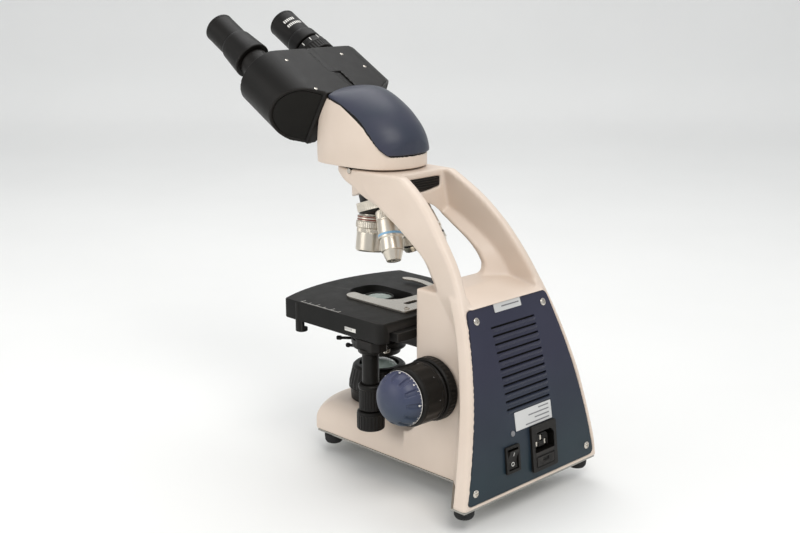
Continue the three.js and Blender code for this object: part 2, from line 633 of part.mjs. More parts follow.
// Objective: seat angle and outer profile of [radius, distance].
const OBJECTIVES = {
  objective_4x: {
    at: 0,
    profile: [[12.3, 0.4], [12.3, 5], [13.2, 5.4], [13.2, 10.6], [12, 11], [12, 30], [11, 31]],
    tip: 8,
  },
  objective_40x: {
    at: 90,
    profile: [[10.5, 0.4], [10.5, 24], [9.6, 25], [9.6, 35], [6, 43.6]],
    tip: 2.5,
  },
  objective_100x: {
    at: 180,
    profile: [[10.5, 0.4], [10.5, 25], [9.8, 26], [9.8, 35], [5.6, 44]],
    tip: 2,
  },
  objective_10x: {
    at: 270,
    profile: [[10.5, 0.4], [10.5, 22], [9.4, 23], [9.4, 31], [8.6, 34], [6.6, 38.6]],
    tip: 4,
  },
};

function nosepiece() {
  part('nosepiece_plate', cut(rod(26.8, -18.9, -12.5, 28, turretFrame()), lightPath()), BLACK_METAL);
  part('turret_ring', tube(28.6, 30.5, -12, -4.3, 36, turretFrame()), STEEL);
  const seats = Object.values(OBJECTIVES).map(({ at }) => rod(9.6, -2.8, 9, 16, seatFrame(at)));
  const cone = [[0, -12], [28.3, -12], [28.3, -4], [29.8, -4], [29.8, -3.4], [0, 5.9]];
  part('turret_cone', cut(turned(cone, 32, turretFrame()), ...seats), BLACK_METAL);
  for (const [name, { at, profile, tip }] of Object.entries(OBJECTIVES)) {
    const end = profile[profile.length - 1][1];
    const barrel = turned([
      [0, -2.5], [9.3, -2.5], [9.3, 0.4], ...profile, [tip, end], [tip, end - 1.2], [0, end - 1.2],
    ], 20, seatFrame(at));
    part(name, barrel, CHROME);
  }
}

const lightPath = () => rod(9, 190, 250, 20, upright(0, OPTICAL_Y));

// ---------------------------------------------------------------- head

const HEAD_SIDE = [
  [-223, 250.3], [-223, 274.5], [-206.3, 303.4], [-192, 299.6], [-176, 291.6], [-164, 283.2],
  [-154, 274.6], [-144, 266.8], [-136, 260.6], [-135.5, 250.3],
];
const COVER_SEAM = HEAD_SIDE.slice(2, 9);

function headPlan(grow) {
  return [
    ...arcPoints(0, -171, 34 + grow, 0, 180, 16),
    [-33 - grow, -196], [-30 - grow, -216], [-22, -223.5 - grow],
    [22, -223.5 - grow], [30 + grow, -216], [33 + grow, -196],
  ];
}

function headCover() {
  const stations = [-31.6, -26, -14, 0, 14, 26, 31.6];
  const rings = stations.map((x) => {
    const crown = 1 + 8 * (1 - (x / 31.6) ** 2);
    const top = COVER_SEAM.map(([y, z], i) => {
      const rise = i === COVER_SEAM.length - 1 ? crown * 0.2 : crown;
      return [x, y + rise * 0.55, z + 0.4 + rise * 0.83];
    });
    const under = COVER_SEAM.map(([y, z]) => [x, y + 0.15, z + 0.35]).reverse();
    return [...top, ...under];
  });
  return lofted(rings).intersect(slabZ(headPlan(3), 250, 330));
}

// Frame of the viewing direction: X right, Y up across the tubes, Z towards the eyes.
function viewFrame(x = 0, y = 0, z = 0) {
  const a = THREE.MathUtils.degToRad(VIEW_TILT);
  const across = axis(0, Math.sin(a), Math.cos(a));
  const out = axis(0, -Math.cos(a), Math.sin(a));
  return basis(axis(1, 0, 0), across, out, HINGE).multiply(new THREE.Matrix4().makeTranslation(x, y, z));
}

// Section of a prism housing on one side, clear of its twin's knuckle.
function housingSection(side) {
  const r = HOUSING_HALF;
  return [
    [0, 0], [0, r - 0.6], [2, r], [HOUSING_ROUND, r], ...arcPoints(HOUSING_ROUND, 0, r, 75, -75, 8),
    [r - 3, -r + 2], [7, -7],
  ].map(([x, y]) => [side * x, y]);
}

function placedSection(points, z0, z1) {
  return extruded(points, z1 - z0, viewFrame(0, 0, z0));
}

function housing(side) {
  const front = [KNUCKLE_SPLIT + 0.3, HOUSING_END];
  const rear = [1.2, KNUCKLE_SPLIT];
  const own = side > 0 ? rear : front;
  const other = side > 0 ? front : rear;
  const body = placedSection(housingSection(side), 1.2, HOUSING_END);
  const knuckle = rod(HOUSING_HALF - 0.6, own[0], own[1], 28, viewFrame());
  const twin = rod(HOUSING_HALF, other[0] - 0.3, other[1] + 0.3, 28, viewFrame());
  const slant = new THREE.Matrix4().makeRotationY(side * THREE.MathUtils.degToRad(-32));
  const prismFrame = viewFrame(side * 34, 0, 1).multiply(slant)
    .multiply(new THREE.Matrix4().makeTranslation(side * -30, 0, -58));
  const prismCut = extruded([[side * 30, -40], [side * 75, -40], [side * 75, 40], [side * 30, 40]],
    60, prismFrame);
  const tubeBore = rod(11.7, 40, 80, 20, viewFrame(side * HALF_IPD));
  const hingeBore = rod(11.2, -2, 80, 20, viewFrame());
  const channel = placedSection([[8, -9], [44, -9], [44, 9], [8, 9]].map(([x, y]) => [side * x, y]),
    own[0] + 4, own[0] + 26);
  return cut(union(cut(body, twin), knuckle), prismCut, tubeBore, hingeBore, channel);
}

function head() {
  const body = slabX(HEAD_SIDE, -40, 40).intersect(slabZ(headPlan(0), 240, 320));
  const stub = rod(21.4, 243.6, 250.4, 24, upright(0, OPTICAL_Y));
  const shaft = rod(13, 240, 286, 20, upright(0, OPTICAL_Y));
  const hingeBore = rod(11.2, -30, 5, 20, viewFrame());
  part('head_body', cut(union(body, stub), shaft, hingeBore), IVORY);
  part('head_cover', headCover(), BLUE);
  part('hinge_tube', tube(9, 10.9, -12, 66, 20, viewFrame()), STEEL);

  for (const [name, side, reach] of [['right', 1, 90.4], ['left', -1, 103.2]]) {
    part(`${name}_prism_housing`, housing(side), BLACK);
    const tubeFrame = viewFrame(side * HALF_IPD);
    part(`${name}_eyetube`, turned([
      [10.4, 58], [11.4, 58], [11.4, 68.3], [13.4, 68.3], [13.4, reach], [10.4, reach], [10.4, 58],
    ], 24, tubeFrame), BLACK);
  }
  const eyepiece = (side, collar, width, end) => turned([
    [0, 76], [10.1, 76], [10.1, collar], [width, collar], [15, 117], [14.4, 118.4], [12.9, 119.4],
    [13, end - 4], [13.8, end - 3], [13.8, end - 1], [12.6, end], [9.6, end - 1], [9.2, end - 3.5], [0, end - 3.5],
  ], 24, viewFrame(side * HALF_IPD));
  part('right_eyepiece', eyepiece(1, 91.2, 17.2, 147), BLACK);
  part('left_eyepiece', eyepiece(-1, 106, 15.4, 149.5), BLACK);
  part('diopter_ring', tube(13.7, 16.4, 86, 103.4, 28, viewFrame(-HALF_IPD)), BLACK);
}

// ---------------------------------------------------------------- assembly

stand();
electrics();
focusDrive();
stage();
condenser();
nosepiece();
head();

const bounds = new THREE.Box3().setFromObject(microscope);
microscope.position.y = -(bounds.min.y + bounds.max.y) / 2;

export default microscope;
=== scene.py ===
"""Looks for the binocular microscope: pieces, materials, floor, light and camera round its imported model.

Shapes are drawn in millimetres in the frame of the design: y = 0 at the rear bottom edge, the user at -Y,
+X to the user's right, z = 0 on the table. TO_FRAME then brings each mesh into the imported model's metres.
"""
import math

import bmesh
import bpy
from mathutils import Matrix, Vector


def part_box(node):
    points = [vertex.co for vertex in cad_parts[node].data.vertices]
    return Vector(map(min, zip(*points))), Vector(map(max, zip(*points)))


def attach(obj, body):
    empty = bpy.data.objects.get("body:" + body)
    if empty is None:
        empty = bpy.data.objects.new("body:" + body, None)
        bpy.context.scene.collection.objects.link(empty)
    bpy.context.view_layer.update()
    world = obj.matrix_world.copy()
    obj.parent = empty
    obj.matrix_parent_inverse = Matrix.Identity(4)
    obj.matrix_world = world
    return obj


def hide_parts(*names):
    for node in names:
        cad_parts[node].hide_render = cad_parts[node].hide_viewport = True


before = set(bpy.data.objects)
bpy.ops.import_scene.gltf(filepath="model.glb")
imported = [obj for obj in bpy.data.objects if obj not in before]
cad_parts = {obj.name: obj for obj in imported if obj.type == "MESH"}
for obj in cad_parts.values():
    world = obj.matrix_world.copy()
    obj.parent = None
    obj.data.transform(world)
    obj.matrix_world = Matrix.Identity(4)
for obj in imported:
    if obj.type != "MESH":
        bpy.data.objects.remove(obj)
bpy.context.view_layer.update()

# ---------------- driving dimensions, in millimetres

METRES = 0.001
LENS = 56.5
SENSOR = 36.0
CAMERA_PLACE = (737.3, 585.4, 421.8)
CAMERA_TURN = (76, 0, 135)
# Soft lights, in metres: name, place, width and height, watts, colour.
LIGHTS = [
    ("key", (0.5, 1.1, 1.5), (0.9, 0.9), 14, (1.0, 0.98, 0.95)),
    ("fill", (1.5, -0.5, 0.7), (1.0, 1.0), 6, (1.0, 0.97, 0.93)),
    ("top", (-0.4, -0.5, 1.6), (1.2, 1.2), 11, (1, 1, 1)),
]
LIT_MIDDLE = (0, 0, 0.18)
SURROUND = (0.95, 0.97, 1.0, 1)
SURROUND_STRENGTH = 0.62
OPTICAL_Y = -178.0
LAMP_LOW, LAMP_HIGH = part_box("lamp")
SHIFT = (LAMP_LOW.y + LAMP_HIGH.y) / 2 / METRES - OPTICAL_Y
TO_FRAME = Matrix.Scale(METRES, 4) @ Matrix.Translation((0, SHIFT, 0))

COLUMN_HALF = 44.5
COLUMN_FRONT = -89.5
COLUMN_TOP = 163.0
TONGUE_FRONT = -213.0
TONGUE_BULGE = 17.0
TONGUE_TOP = 38.0
CAST_BOTTOM = 10.1
WING_THICKNESS = 6.5
PLATFORM_TOP = 247.0

KNOB = (0, -68, 85)
STAGE_TOP = 134.0
STAGE_HALF = 70.0
STAGE_REAR = -104.0
STAGE_FRONT = -222.0
STAGE_BULGE = 15.0
XY_CONTROL = (62, -124, 0)
FINGER_PIVOT = (-28, -131, 0)
CONDENSER_KNOB = (0, -124, 103.5)
FILTER_PIVOT = (-22.2, OPTICAL_Y)
DIAL = (0, -120, 26)
COLLAR_BORE = 26.4
SHAFT_BORE = 8.0
LIGHT_BORE = 14.0

TURRET_TILT = math.radians(17.5)
TURRET = (0, -159, 210)
SEAT_RADIUS = 20.0
TURRET_REST = 30.7
VIEW_TILT = math.radians(30)
HINGE = (0, -218.3, 283.9)
HALF_IPD = 38.0
HOUSING_HALF = 27.0
HOUSING_ROUND = 40.0
HOUSING_END = 68.0
HINGE_BORE = 11.2
SLANT = 32.0
SLANT_FOOT = 30.0
KNUCKLE_SPLIT = 30.3

# Side ribs: height, rear edge, front edge, half width at the rear and at the front.
RIB = [
    (10.1, 0.6, -47, 83.5, 44.8), (30, -0.2, -45.5, 80.2, 44.8), (69, -5.2, -41.5, 71.4, 44.8),
    (98, -11.3, -41.8, 65, 44.8), (134, -22.8, -46.8, 56.4, 44.8), (163.6, -36.5, -65.5, 49.8, 44.8),
    (185, -49, -81.5, 45.8, 43), (205, -65, -111.8, 43, 40.2), (220, -79.4, -141, 39.6, 36.5),
    (231, -92.5, -160, 36.8, 34.3), (242, -109.5, -162, 34, 33.5), (247, -119, -164, 33.5, 33.5),
]
# How far the inner lip of a wing reaches, against height.
WEB_REACH = [(160, 25), (163, 21), (167, 17), (172, 15), (180, 14.5), (200, 14), (222, 11)]
PANEL_CURVE = [(8, 0), (40, -2.1), (69, -6.2), (98, -12.4), (126, -20.8), (156, -31.6)]
PANEL_LOW = (79, 13)
PANEL_HIGH = (47, 156)
PANEL_SCREWS = [(40.5, 147), (-40.5, 147), (69.5, 22), (-69.5, 22)]
PANEL_FITTINGS = (0, -2.2, 38)
FITTINGS_TILT = 6.2
LOUVRES = {"count": 11, "lowest": 75.5, "pitch": 6.3, "half": 26.5}
SWITCH = (17.5, 34.5, -11.5, 10.5)
INLET = (-28, 3, -19, 19)

# ---------------- frames

def basis(ex, ey, ez, origin):
    """Frame with these axes as its columns."""
    matrix = Matrix((ex, ey, ez)).transposed().to_4x4()
    matrix.translation = origin
    return matrix


def upright(x, y, z=0.0):
    return Matrix.Translation((x, y, z))


def turn(axis, degrees):
    return Matrix.Rotation(math.radians(degrees), 4, axis)


def along_x(x, y, z):
    """Frame whose Z runs along +X."""
    return basis((0, 1, 0), (0, 0, 1), (1, 0, 0), (x, y, z))


def view_frame(x=0.0, y=0.0, z=0.0):
    """Frame of the viewing direction: X right, Y across the tubes, Z towards the eyes."""
    s, c = math.sin(VIEW_TILT), math.cos(VIEW_TILT)
    return basis((1, 0, 0), (0, s, c), (0, -c, s), HINGE) @ upright(x, y, z)


def turret_frame():
    s, c = math.sin(TURRET_TILT), math.cos(TURRET_TILT)
    down, front = Vector((0, s, -c)), Vector((0, -c, -s))
    return basis(front.cross(down), front, down, TURRET)


def seat_frame(degrees):
    """Frame of one nosepiece seat: Z runs out along its objective."""
    seat = turret_frame() @ turn("Z", -degrees - TURRET_REST) @ upright(0, SEAT_RADIUS)
    return seat @ Matrix.Rotation(-TURRET_TILT, 4, "X")


def lever_frame(degrees, height):
    """Frame at the condenser's axis, with Z pointing out at an angle from +X."""
    a = math.radians(degrees)
    out = Vector((math.cos(a), math.sin(a), 0))
    up = Vector((0, 0, 1))
    return basis(up.cross(out), up, out, (0, OPTICAL_Y, height))


FITTINGS = upright(*PANEL_FITTINGS) @ turn("X", FITTINGS_TILT)
OUTWARD = FITTINGS @ basis((1, 0, 0), (0, 0, 1), (0, 1, 0), (0, 0, 0))
ON_AXIS = upright(0, OPTICAL_Y)

# ---------------- outlines

def lerp(a, b, t):
    return a + (b - a) * t


def smooth(points, steps):
    """Catmull-Rom curve through points of any size."""
    result = []
    last = len(points) - 1
    for i in range(last):
        p0, p1 = points[max(i - 1, 0)], points[i]
        p2, p3 = points[i + 1], points[min(i + 2, last)]
        for k in range(steps):
            t = k / steps
            result.append(tuple(
                0.5 * (2 * b + (c - a) * t + (2 * a - 5 * b + 4 * c - d) * t * t
                       + (3 * b - a - 3 * c + d) * t ** 3)
                for a, b, c, d in zip(p0, p1, p2, p3)))
    result.append(tuple(points[last]))
    return result


def lookup(table, value):
    """Straight-line reading of the second column at a value of the first."""
    for (a, *low), (b, *high) in zip(table, table[1:]):
        if value <= b:
            return lerp(low[0], high[0], (value - a) / (b - a))
    return table[-1][1]


def arc(cx, cy, r, start, end, steps):
    angles = [math.radians(lerp(start, end, i / steps)) for i in range(steps + 1)]
    return [(cx + r * math.cos(a), cy + r * math.sin(a)) for a in angles]


def bowed_front(half, front, bulge, steps):
    """Front edge bowed out by a circular arc, from +x to -x."""
    radius = (half * half + bulge * bulge) / (2 * bulge)
    spread = math.degrees(math.asin(half / radius))
    return arc(0, front - bulge + radius, radius, -90 + spread, -90 - spread, steps)


def soften(points, radius=0.6, steps=3, closed=False):
    """Outline with its corners rounded."""
    result = []
    count = len(points)
    for i, point in enumerate(points):
        if not closed and i in (0, count - 1):
            result.append(tuple(point))
            continue
        p = Vector(point)
        before, after = Vector(points[i - 1]), Vector(points[(i + 1) % count])
        reach = min(radius, (before - p).length * 0.45, (after - p).length * 0.45)
        a = p + (before - p).normalized() * reach
        b = p + (after - p).normalized() * reach
        for k in range(steps + 1):
            t = k / steps
            result.append(tuple(a * (1 - t) ** 2 + p * (2 * t * (1 - t)) + b * t * t))
    return result


def rounded_box(x0, x1, y0, y1, r, steps=5):
    return soften([(x1, y1), (x0, y1), (x0, y0), (x1, y0)], r, steps, closed=True)


# ---------------- solids

def link(obj):
    bpy.context.scene.collection.objects.link(obj)
    return obj


def solid(vertices, faces, matrix=None):
    mesh = bpy.data.meshes.new("raw")
    mesh.from_pydata([tuple(v) for v in vertices], [], faces)
    if matrix is not None:
        mesh.transform(matrix)
    tidy_normals(mesh)
    return link(bpy.data.objects.new("raw", mesh))


def tidy_normals(mesh):
    bm = bmesh.new()
    bm.from_mesh(mesh)
    bmesh.ops.remove_doubles(bm, verts=bm.verts, dist=1e-6)
    bmesh.ops.recalc_face_normals(bm, faces=bm.faces)
    bm.to_mesh(mesh)
    bm.free()


def loft(rings):
    """Closed skin over rings of equal point count, with flat ends."""
    count = len(rings[0])
    vertices = [point for ring in rings for point in ring]
    faces = []
    for r in range(len(rings) - 1):
        for i in range(count):
            a, b = r * count + i, r * count + (i + 1) % count
            faces.append((a, b, b + count, a + count))
    faces.append(tuple(range(count))[::-1])
    faces.append(tuple(range((len(rings) - 1) * count, len(rings) * count)))
    return solid(vertices, faces)


def prism(points, z0, z1, matrix=None):
    body = loft([[(x, y, z) for x, y in points] for z in (z0, z1)])
    if matrix is not None:
        body.data.transform(matrix)
        tidy_normals(body.data)
    return body


def slab_x(points, x0, x1):
    """Outline in YZ, between two X planes."""
    return prism(points, x0, x1, basis((0, 1, 0), (0, 0, 1), (1, 0, 0), (0, 0, 0)))


def slab_y(points, y0, y1):
    """Outline in XZ, between two Y planes."""
    return prism(points, -y1, -y0, basis((1, 0, 0), (0, 0, 1), (0, -1, 0), (0, 0, 0)))


def slab_z(points, z0, z1):
    """Outline in XY, between two Z planes."""
    return prism(points, z0, z1)


def block(x0, x1, y0, y1, z0, z1, matrix=None):
    return prism([(x1, y1), (x0, y1), (x0, y0), (x1, y0)], z0, z1, matrix)


def lathe(profile, matrix=None, segments=64, wave=None):
    """Profile of (radius, height) turned about Z. wave(r, h, angle) may bend the surface."""
    loop = profile[0] == profile[-1]
    points = profile[:-1] if loop else profile
    vertices, rings = [], []
    for r, h in points:
        if r < 1e-6:
            rings.append([len(vertices)])
            vertices.append((0, 0, h))
            continue
        rings.append(list(range(len(vertices), len(vertices) + segments)))
        for i in range(segments):
            a = 2 * math.pi * i / segments
            radius, height = wave(r, h, a) if wave else (r, h)
            vertices.append((radius * math.cos(a), radius * math.sin(a), height))
    faces = []
    for low, high in zip(rings, rings[1:] + ([rings[0]] if loop else [])):
        for i in range(segments):
            j = (i + 1) % segments
            if len(low) > 1 and len(high) > 1:
                faces.append((low[i], low[j], high[j], high[i]))
            elif len(low) > 1:
                faces.append((low[i], low[j], high[0]))
            elif len(high) > 1:
                faces.append((low[0], high[j], high[i]))
    return solid(vertices, faces, matrix)


def rod(radius, z0, z1, matrix=None, segments=48):
    return lathe([(0, z0), (radius, z0), (radius, z1), (0, z1)], matrix, segments)


def turned(profile, matrix=None, segments=64, wave=None, edge=0.6):
    """Lathe with its corners rounded. A profile that ends where it starts is a ring."""
    if profile[0] == profile[-1]:
        rounded = soften(profile[:-1], edge, 3, closed=True)
        return lathe(rounded + [rounded[0]], matrix, segments, wave)
    return lathe(soften(profile, edge, 3), matrix, segments, wave)


def ring(inner, outer, z0, z1, matrix=None, segments=64, wave=None, edge=0.5):
    profile = [(inner, z0), (outer, z0), (outer, z1), (inner, z1), (inner, z0)]
    return turned(profile, matrix, segments, wave, edge)


def knurl(count, depth, low, high, least_radius=0.0):
    """Wave of fine ridges round a turned part, between two heights."""
    def wave(r, h, a):
        if low <= h <= high and r >= least_radius:
            return r - depth * (0.5 - 0.5 * math.cos(count * a)), h
        return r, h
    return wave


def bake(obj):
    """Applies the object's modifiers to its mesh."""
    graph = bpy.context.evaluated_depsgraph_get()
    mesh = bpy.data.meshes.new_from_object(obj.evaluated_get(graph))
    old = obj.data
    obj.modifiers.clear()
    obj.data = mesh
    bpy.data.meshes.remove(old)
    return obj


def combine(operation, body, tools):
    for tool in tools:
        modifier = body.modifiers.new("combine", "BOOLEAN")
        modifier.operation = operation
        modifier.solver = "EXACT"
        modifier.object = tool
    bake(body)
    for tool in tools:
        bpy.data.objects.remove(tool)
    return body


def union(body, *tools):
    return combine("UNION", body, tools)


def cut(body, *tools):
    return combine("DIFFERENCE", body, tools)


def common(body, *tools):
    return combine("INTERSECT", body, tools)


def bevel(obj, width, segments=2, degrees=30):
    modifier = obj.modifiers.new("bevel", "BEVEL")
    modifier.width = width
    modifier.segments = segments
    modifier.limit_method = "ANGLE"
    modifier.angle_limit = math.radians(degrees)
    return bake(obj)


def cast(obj, voxel, passes):
    """Turns a union of sharp solids into one skin with soft edges, as a casting has."""
    remesh = obj.modifiers.new("remesh", "REMESH")
    remesh.mode = "VOXEL"
    remesh.voxel_size = voxel
    relax = obj.modifiers.new("relax", "SMOOTH")
    relax.factor = 0.5
    relax.iterations = passes
    return bake(obj)


def joined(objects):
    """Separate solids as one mesh."""
    bm = bmesh.new()
    for obj in objects:
        bm.from_mesh(obj.data)
    first, *rest = objects
    bm.to_mesh(first.data)
    bm.free()
    for obj in rest:
        bpy.data.objects.remove(obj)
    return first


# ---------------- materials

def linear(red, green, blue):
    """Colour from 0 to 255 as the shader's linear values."""
    shares = [value / 255 for value in (red, green, blue)]
    return tuple(((v + 0.055) / 1.055) ** 2.4 if v > 0.04 else v / 12.92 for v in shares) + (1,)


def add(nodes, kind, **inputs):
    node = nodes.new(kind)
    for key, value in inputs.items():
        node.inputs[key.replace("_", " ")].default_value = value
    return node


def surface(name, low, high, rough, metallic=0.0, grain=900.0, blotch=18.0, bump=0.04, painted_edge_highlight=None,
            painted_reflection=None, **uniform):
    """Material whose colour drifts between two shades, with its own gloss drift and surface grain.

    The edge shade is a highlight painted lighter on convex edges; the height change is two heights and the
    pair of shades reached at the lower one, a reflection painted on the lower part.
    """
    material = bpy.data.materials.new(name)
    material.use_nodes = True
    nodes, links = material.node_tree.nodes, material.node_tree.links
    shader = nodes["Principled BSDF"]
    shader.inputs["Metallic"].default_value = metallic
    for key, value in uniform.items():
        shader.inputs[key.replace("_", " ")].default_value = value
    place = nodes.new("ShaderNodeTexCoord")
    drift = add(nodes, "ShaderNodeTexNoise", Scale=blotch, Detail=4.0)
    links.new(place.outputs["Object"], drift.inputs["Vector"])
    colour = shades(nodes, links, drift.outputs["Fac"], low, high)
    # Lower part painted in other shades by height: a painted reflection.
    if painted_reflection:
        (top, bottom), (reflection_low, reflection_high) = painted_reflection
        lower = shades(nodes, links, drift.outputs["Fac"], reflection_low, reflection_high)
        parts = nodes.new("ShaderNodeSeparateXYZ")
        links.new(place.outputs["Object"], parts.inputs["Vector"])
        height = add(nodes, "ShaderNodeMapRange", From_Min=top, From_Max=bottom)
        links.new(parts.outputs["Z"], height.inputs["Value"])
        colour = mixed(nodes, links, height.outputs["Result"], colour, lower)
    # Convex edges painted lighter: a painted highlight.
    if painted_edge_highlight:
        geometry = nodes.new("ShaderNodeNewGeometry")
        edge = add(nodes, "ShaderNodeMapRange", From_Min=0.51, From_Max=0.6)
        links.new(geometry.outputs["Pointiness"], edge.inputs["Value"])
        colour = mixed(nodes, links, edge.outputs["Result"], colour, painted_edge_highlight)
    links.new(colour, shader.inputs["Base Color"])
    polish = add(nodes, "ShaderNodeTexNoise", Scale=blotch * 6, Detail=3.0)
    links.new(place.outputs["Object"], polish.inputs["Vector"])
    gloss = add(nodes, "ShaderNodeMapRange", To_Min=rough * 0.85, To_Max=rough * 1.15)
    links.new(polish.outputs["Fac"], gloss.inputs["Value"])
    links.new(gloss.outputs["Result"], shader.inputs["Roughness"])
    fine = add(nodes, "ShaderNodeTexNoise", Scale=grain, Detail=2.0)
    links.new(place.outputs["Object"], fine.inputs["Vector"])
    relief = add(nodes, "ShaderNodeBump", Strength=bump, Distance=0.0004)
    links.new(fine.outputs["Fac"], relief.inputs["Height"])
    links.new(relief.outputs["Normal"], shader.inputs["Normal"])
    return material


def shades(nodes, links, factor, low, high):
    ramp = nodes.new("ShaderNodeValToRGB")
    ramp.color_ramp.elements[0].position = 0.3
    ramp.color_ramp.elements[1].position = 0.7
    ramp.color_ramp.elements[0].color = linear(*low)
    ramp.color_ramp.elements[1].color = linear(*high)
    links.new(factor, ramp.inputs["Fac"])
    return ramp.outputs["Color"]


def mixed(nodes, links, factor, first, second):
    mix = nodes.new("ShaderNodeMix")
    mix.data_type = "RGBA"
    links.new(factor, mix.inputs[0])
    links.new(first, mix.inputs[6])
    if isinstance(second, tuple):
        mix.inputs[7].default_value = linear(*second)
    else:
        links.new(second, mix.inputs[7])
    return mix.outputs[2]


IVORY = surface("ivory_paint", (214, 197, 181), (221, 205, 190), 0.44, grain=1400, bump=0.05,
                Coat_Weight=0.15, Coat_Roughness=0.25)
# Slate panel painted tealer towards its bottom: a painted reflection.
PANEL = surface("slate_panel", (46, 47, 63), (51, 52, 68), 0.4, grain=2200, bump=0.1,
                painted_reflection=((0.11, 0.03), ((28, 42, 50), (33, 48, 56))), Specular_IOR_Level=0.25)
COVER = surface("slate_cover", (54, 55, 71), (48, 56, 67), 0.4, grain=2200, bump=0.1,
                blotch=25, Specular_IOR_Level=0.35)
# Blue knob painted tealer towards its bottom: a painted reflection.
KNOB_BLUE = surface("knob_blue", (60, 64, 88), (68, 72, 96), 0.38, grain=2000, bump=0.06,
                    painted_reflection=((0.1, 0.06), ((38, 54, 66), (44, 60, 72))), Specular_IOR_Level=0.35)
# Black plastic with a highlight painted on its convex edges.
BLACK = surface("black_plastic", (17, 16, 14), (23, 21, 19), 0.44, grain=1700, bump=0.1,
                painted_edge_highlight=(44, 41, 38), Specular_IOR_Level=0.2)
# Black alloy with a highlight painted on its convex edges.
ALLOY = surface("black_alloy", (17, 17, 16), (22, 22, 21), 0.5, grain=2600, bump=0.12,
                painted_edge_highlight=(50, 48, 46), Specular_IOR_Level=0.16)
# Dark matte of the prism covers and the head seam, and also painted shade: the sheet behind the louvres and
# the ring in the gap under the head.
DARK = surface("dark_matte_and_painted_shade", (18, 17, 15), (22, 21, 18), 0.6, grain=1500, bump=0.1,
               Specular_IOR_Level=0.2)
PLATE = surface("plate_steel", (150, 148, 142), (168, 166, 160), 0.42, metallic=0.9, bump=0.1)
STEEL = surface("bright_steel", (196, 190, 180), (214, 208, 198), 0.26, metallic=0.95, bump=0.05)
BRASS = surface("brass_gear", (170, 134, 70), (190, 152, 84), 0.35, metallic=0.95, bump=0.08)
CHROME = surface("satin_chrome", (206, 198, 184), (222, 214, 200), 0.3, metallic=0.9, bump=0.04,
                 grain=3000)
GLASS = surface("lens_glass", (196, 212, 204), (210, 224, 216), 0.06, bump=0.0,
                Transmission_Weight=0.55, IOR=1.5)
DARK_GLASS = surface("coated_glass", (30, 36, 48), (42, 40, 60), 0.05, bump=0.0,
                     Coat_Weight=1.0, Coat_Roughness=0.03)
RUBBER = surface("foot_rubber", (18, 18, 18), (26, 26, 26), 0.8, grain=1200, bump=0.3)
BOARD = surface("circuit_board", (40, 84, 56), (50, 98, 66), 0.55, blotch=200, bump=0.2)
LAMP = surface("lamp_module", (190, 188, 182), (208, 206, 200), 0.35, metallic=0.8, bump=0.05)
WHITE = surface("white_marks", (214, 212, 206), (230, 228, 222), 0.5, bump=0.1)
LABEL = surface("blank_label", (196, 196, 194), (206, 206, 204), 0.35, bump=0.03)
GREY_INK = surface("grey_ink", (110, 110, 112), (128, 128, 130), 0.5, bump=0.05)
RED_RING = surface("red_ring", (122, 62, 50), (140, 74, 60), 0.35, bump=0.05)
BLUE_RING = surface("blue_ring", (120, 168, 204), (138, 184, 216), 0.35, bump=0.05)
YELLOW_RING = surface("yellow_ring", (196, 164, 70), (210, 178, 84), 0.35, bump=0.05)


def piece(obj, name, body, material, *replaced, crease=35):
    """Puts a finished shape into the model's frame, as one piece on its body."""
    obj.name = name
    mesh = obj.data
    mesh.name = name
    mesh.transform(TO_FRAME)
    tidy_normals(mesh)
    mesh.shade_smooth()
    mesh.set_sharp_from_angle(angle=math.radians(crease))
    mesh.materials.clear()
    mesh.materials.append(material)
    weigh = obj.modifiers.new("weigh", "WEIGHTED_NORMAL")
    weigh.keep_sharp = True
    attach(obj, body)
    if replaced:
        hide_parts(*replaced)
    return obj


# ---------------- camera, light and floor

def make_camera():
    """Camera behind the object and to its right, a little above it."""
    data = bpy.data.cameras.new("camera")
    data.lens = LENS
    data.sensor_width = SENSOR
    camera = link(bpy.data.objects.new("camera", data))
    camera.location = TO_FRAME @ Vector(CAMERA_PLACE)
    camera.rotation_euler = [math.radians(degrees) for degrees in CAMERA_TURN]
    bpy.context.scene.camera = camera


def soft_light(name, place, size, power, colour):
    data = bpy.data.lights.new(name, "AREA")
    data.shape = "RECTANGLE"
    data.size, data.size_y = size
    data.energy = power
    data.color = colour
    light = link(bpy.data.objects.new(name, data))
    light.location = place
    light.rotation_euler = (Vector(LIT_MIDDLE) - light.location).to_track_quat("-Z", "Y").to_euler()


def make_studio():
    """Pale sweep that rises behind the object, soft lights and a pale surround."""
    steps = [(2.4, 0.0), (-1.2, 0.0), (-1.9, 0.15), (-2.3, 0.6), (-2.45, 1.3), (-2.5, 3.2)]
    profile = smooth(steps, 6)
    vertices = [turn("Z", -45) @ Vector((x, y, z)) for y, z in profile for x in (-4.0, 4.0)]
    faces = [(2 * i, 2 * i + 1, 2 * i + 3, 2 * i + 2) for i in range(len(profile) - 1)]
    mesh = bpy.data.meshes.new("floor")
    mesh.from_pydata([tuple(v) for v in vertices], [], faces)
    mesh.shade_smooth()
    mesh.materials.append(surface("pale_floor", (238, 238, 236), (241, 241, 239), 0.7, blotch=3,
                                  grain=60, bump=0.02))
    floor = link(bpy.data.objects.new("floor", mesh))

    for light in LIGHTS:
        soft_light(*light)
    world = bpy.data.worlds.new("surround")
    world.use_nodes = True
    background = world.node_tree.nodes["Background"]
    background.inputs["Color"].default_value = SURROUND
    background.inputs["Strength"].default_value = SURROUND_STRENGTH
    bpy.context.scene.world = world
    bpy.context.scene.view_settings.view_transform = "Standard"


# ---------------- stand

def rib_at(z):
    """Rear edge, front edge, half width and nose of a side rib at a height."""
    for low, high in zip(RIB_CURVE, RIB_CURVE[1:]):
        if z <= high[0]:
            t = (z - low[0]) / (high[0] - low[0])
            return [lerp(a, b, t) for a, b in zip(low[1:], high[1:])]
    return RIB_CURVE[-1][1:]


RIB_CURVE = smooth(RIB, 8)
PANEL_LINE = [(y, z) for z, y in smooth(PANEL_CURVE, 6)]


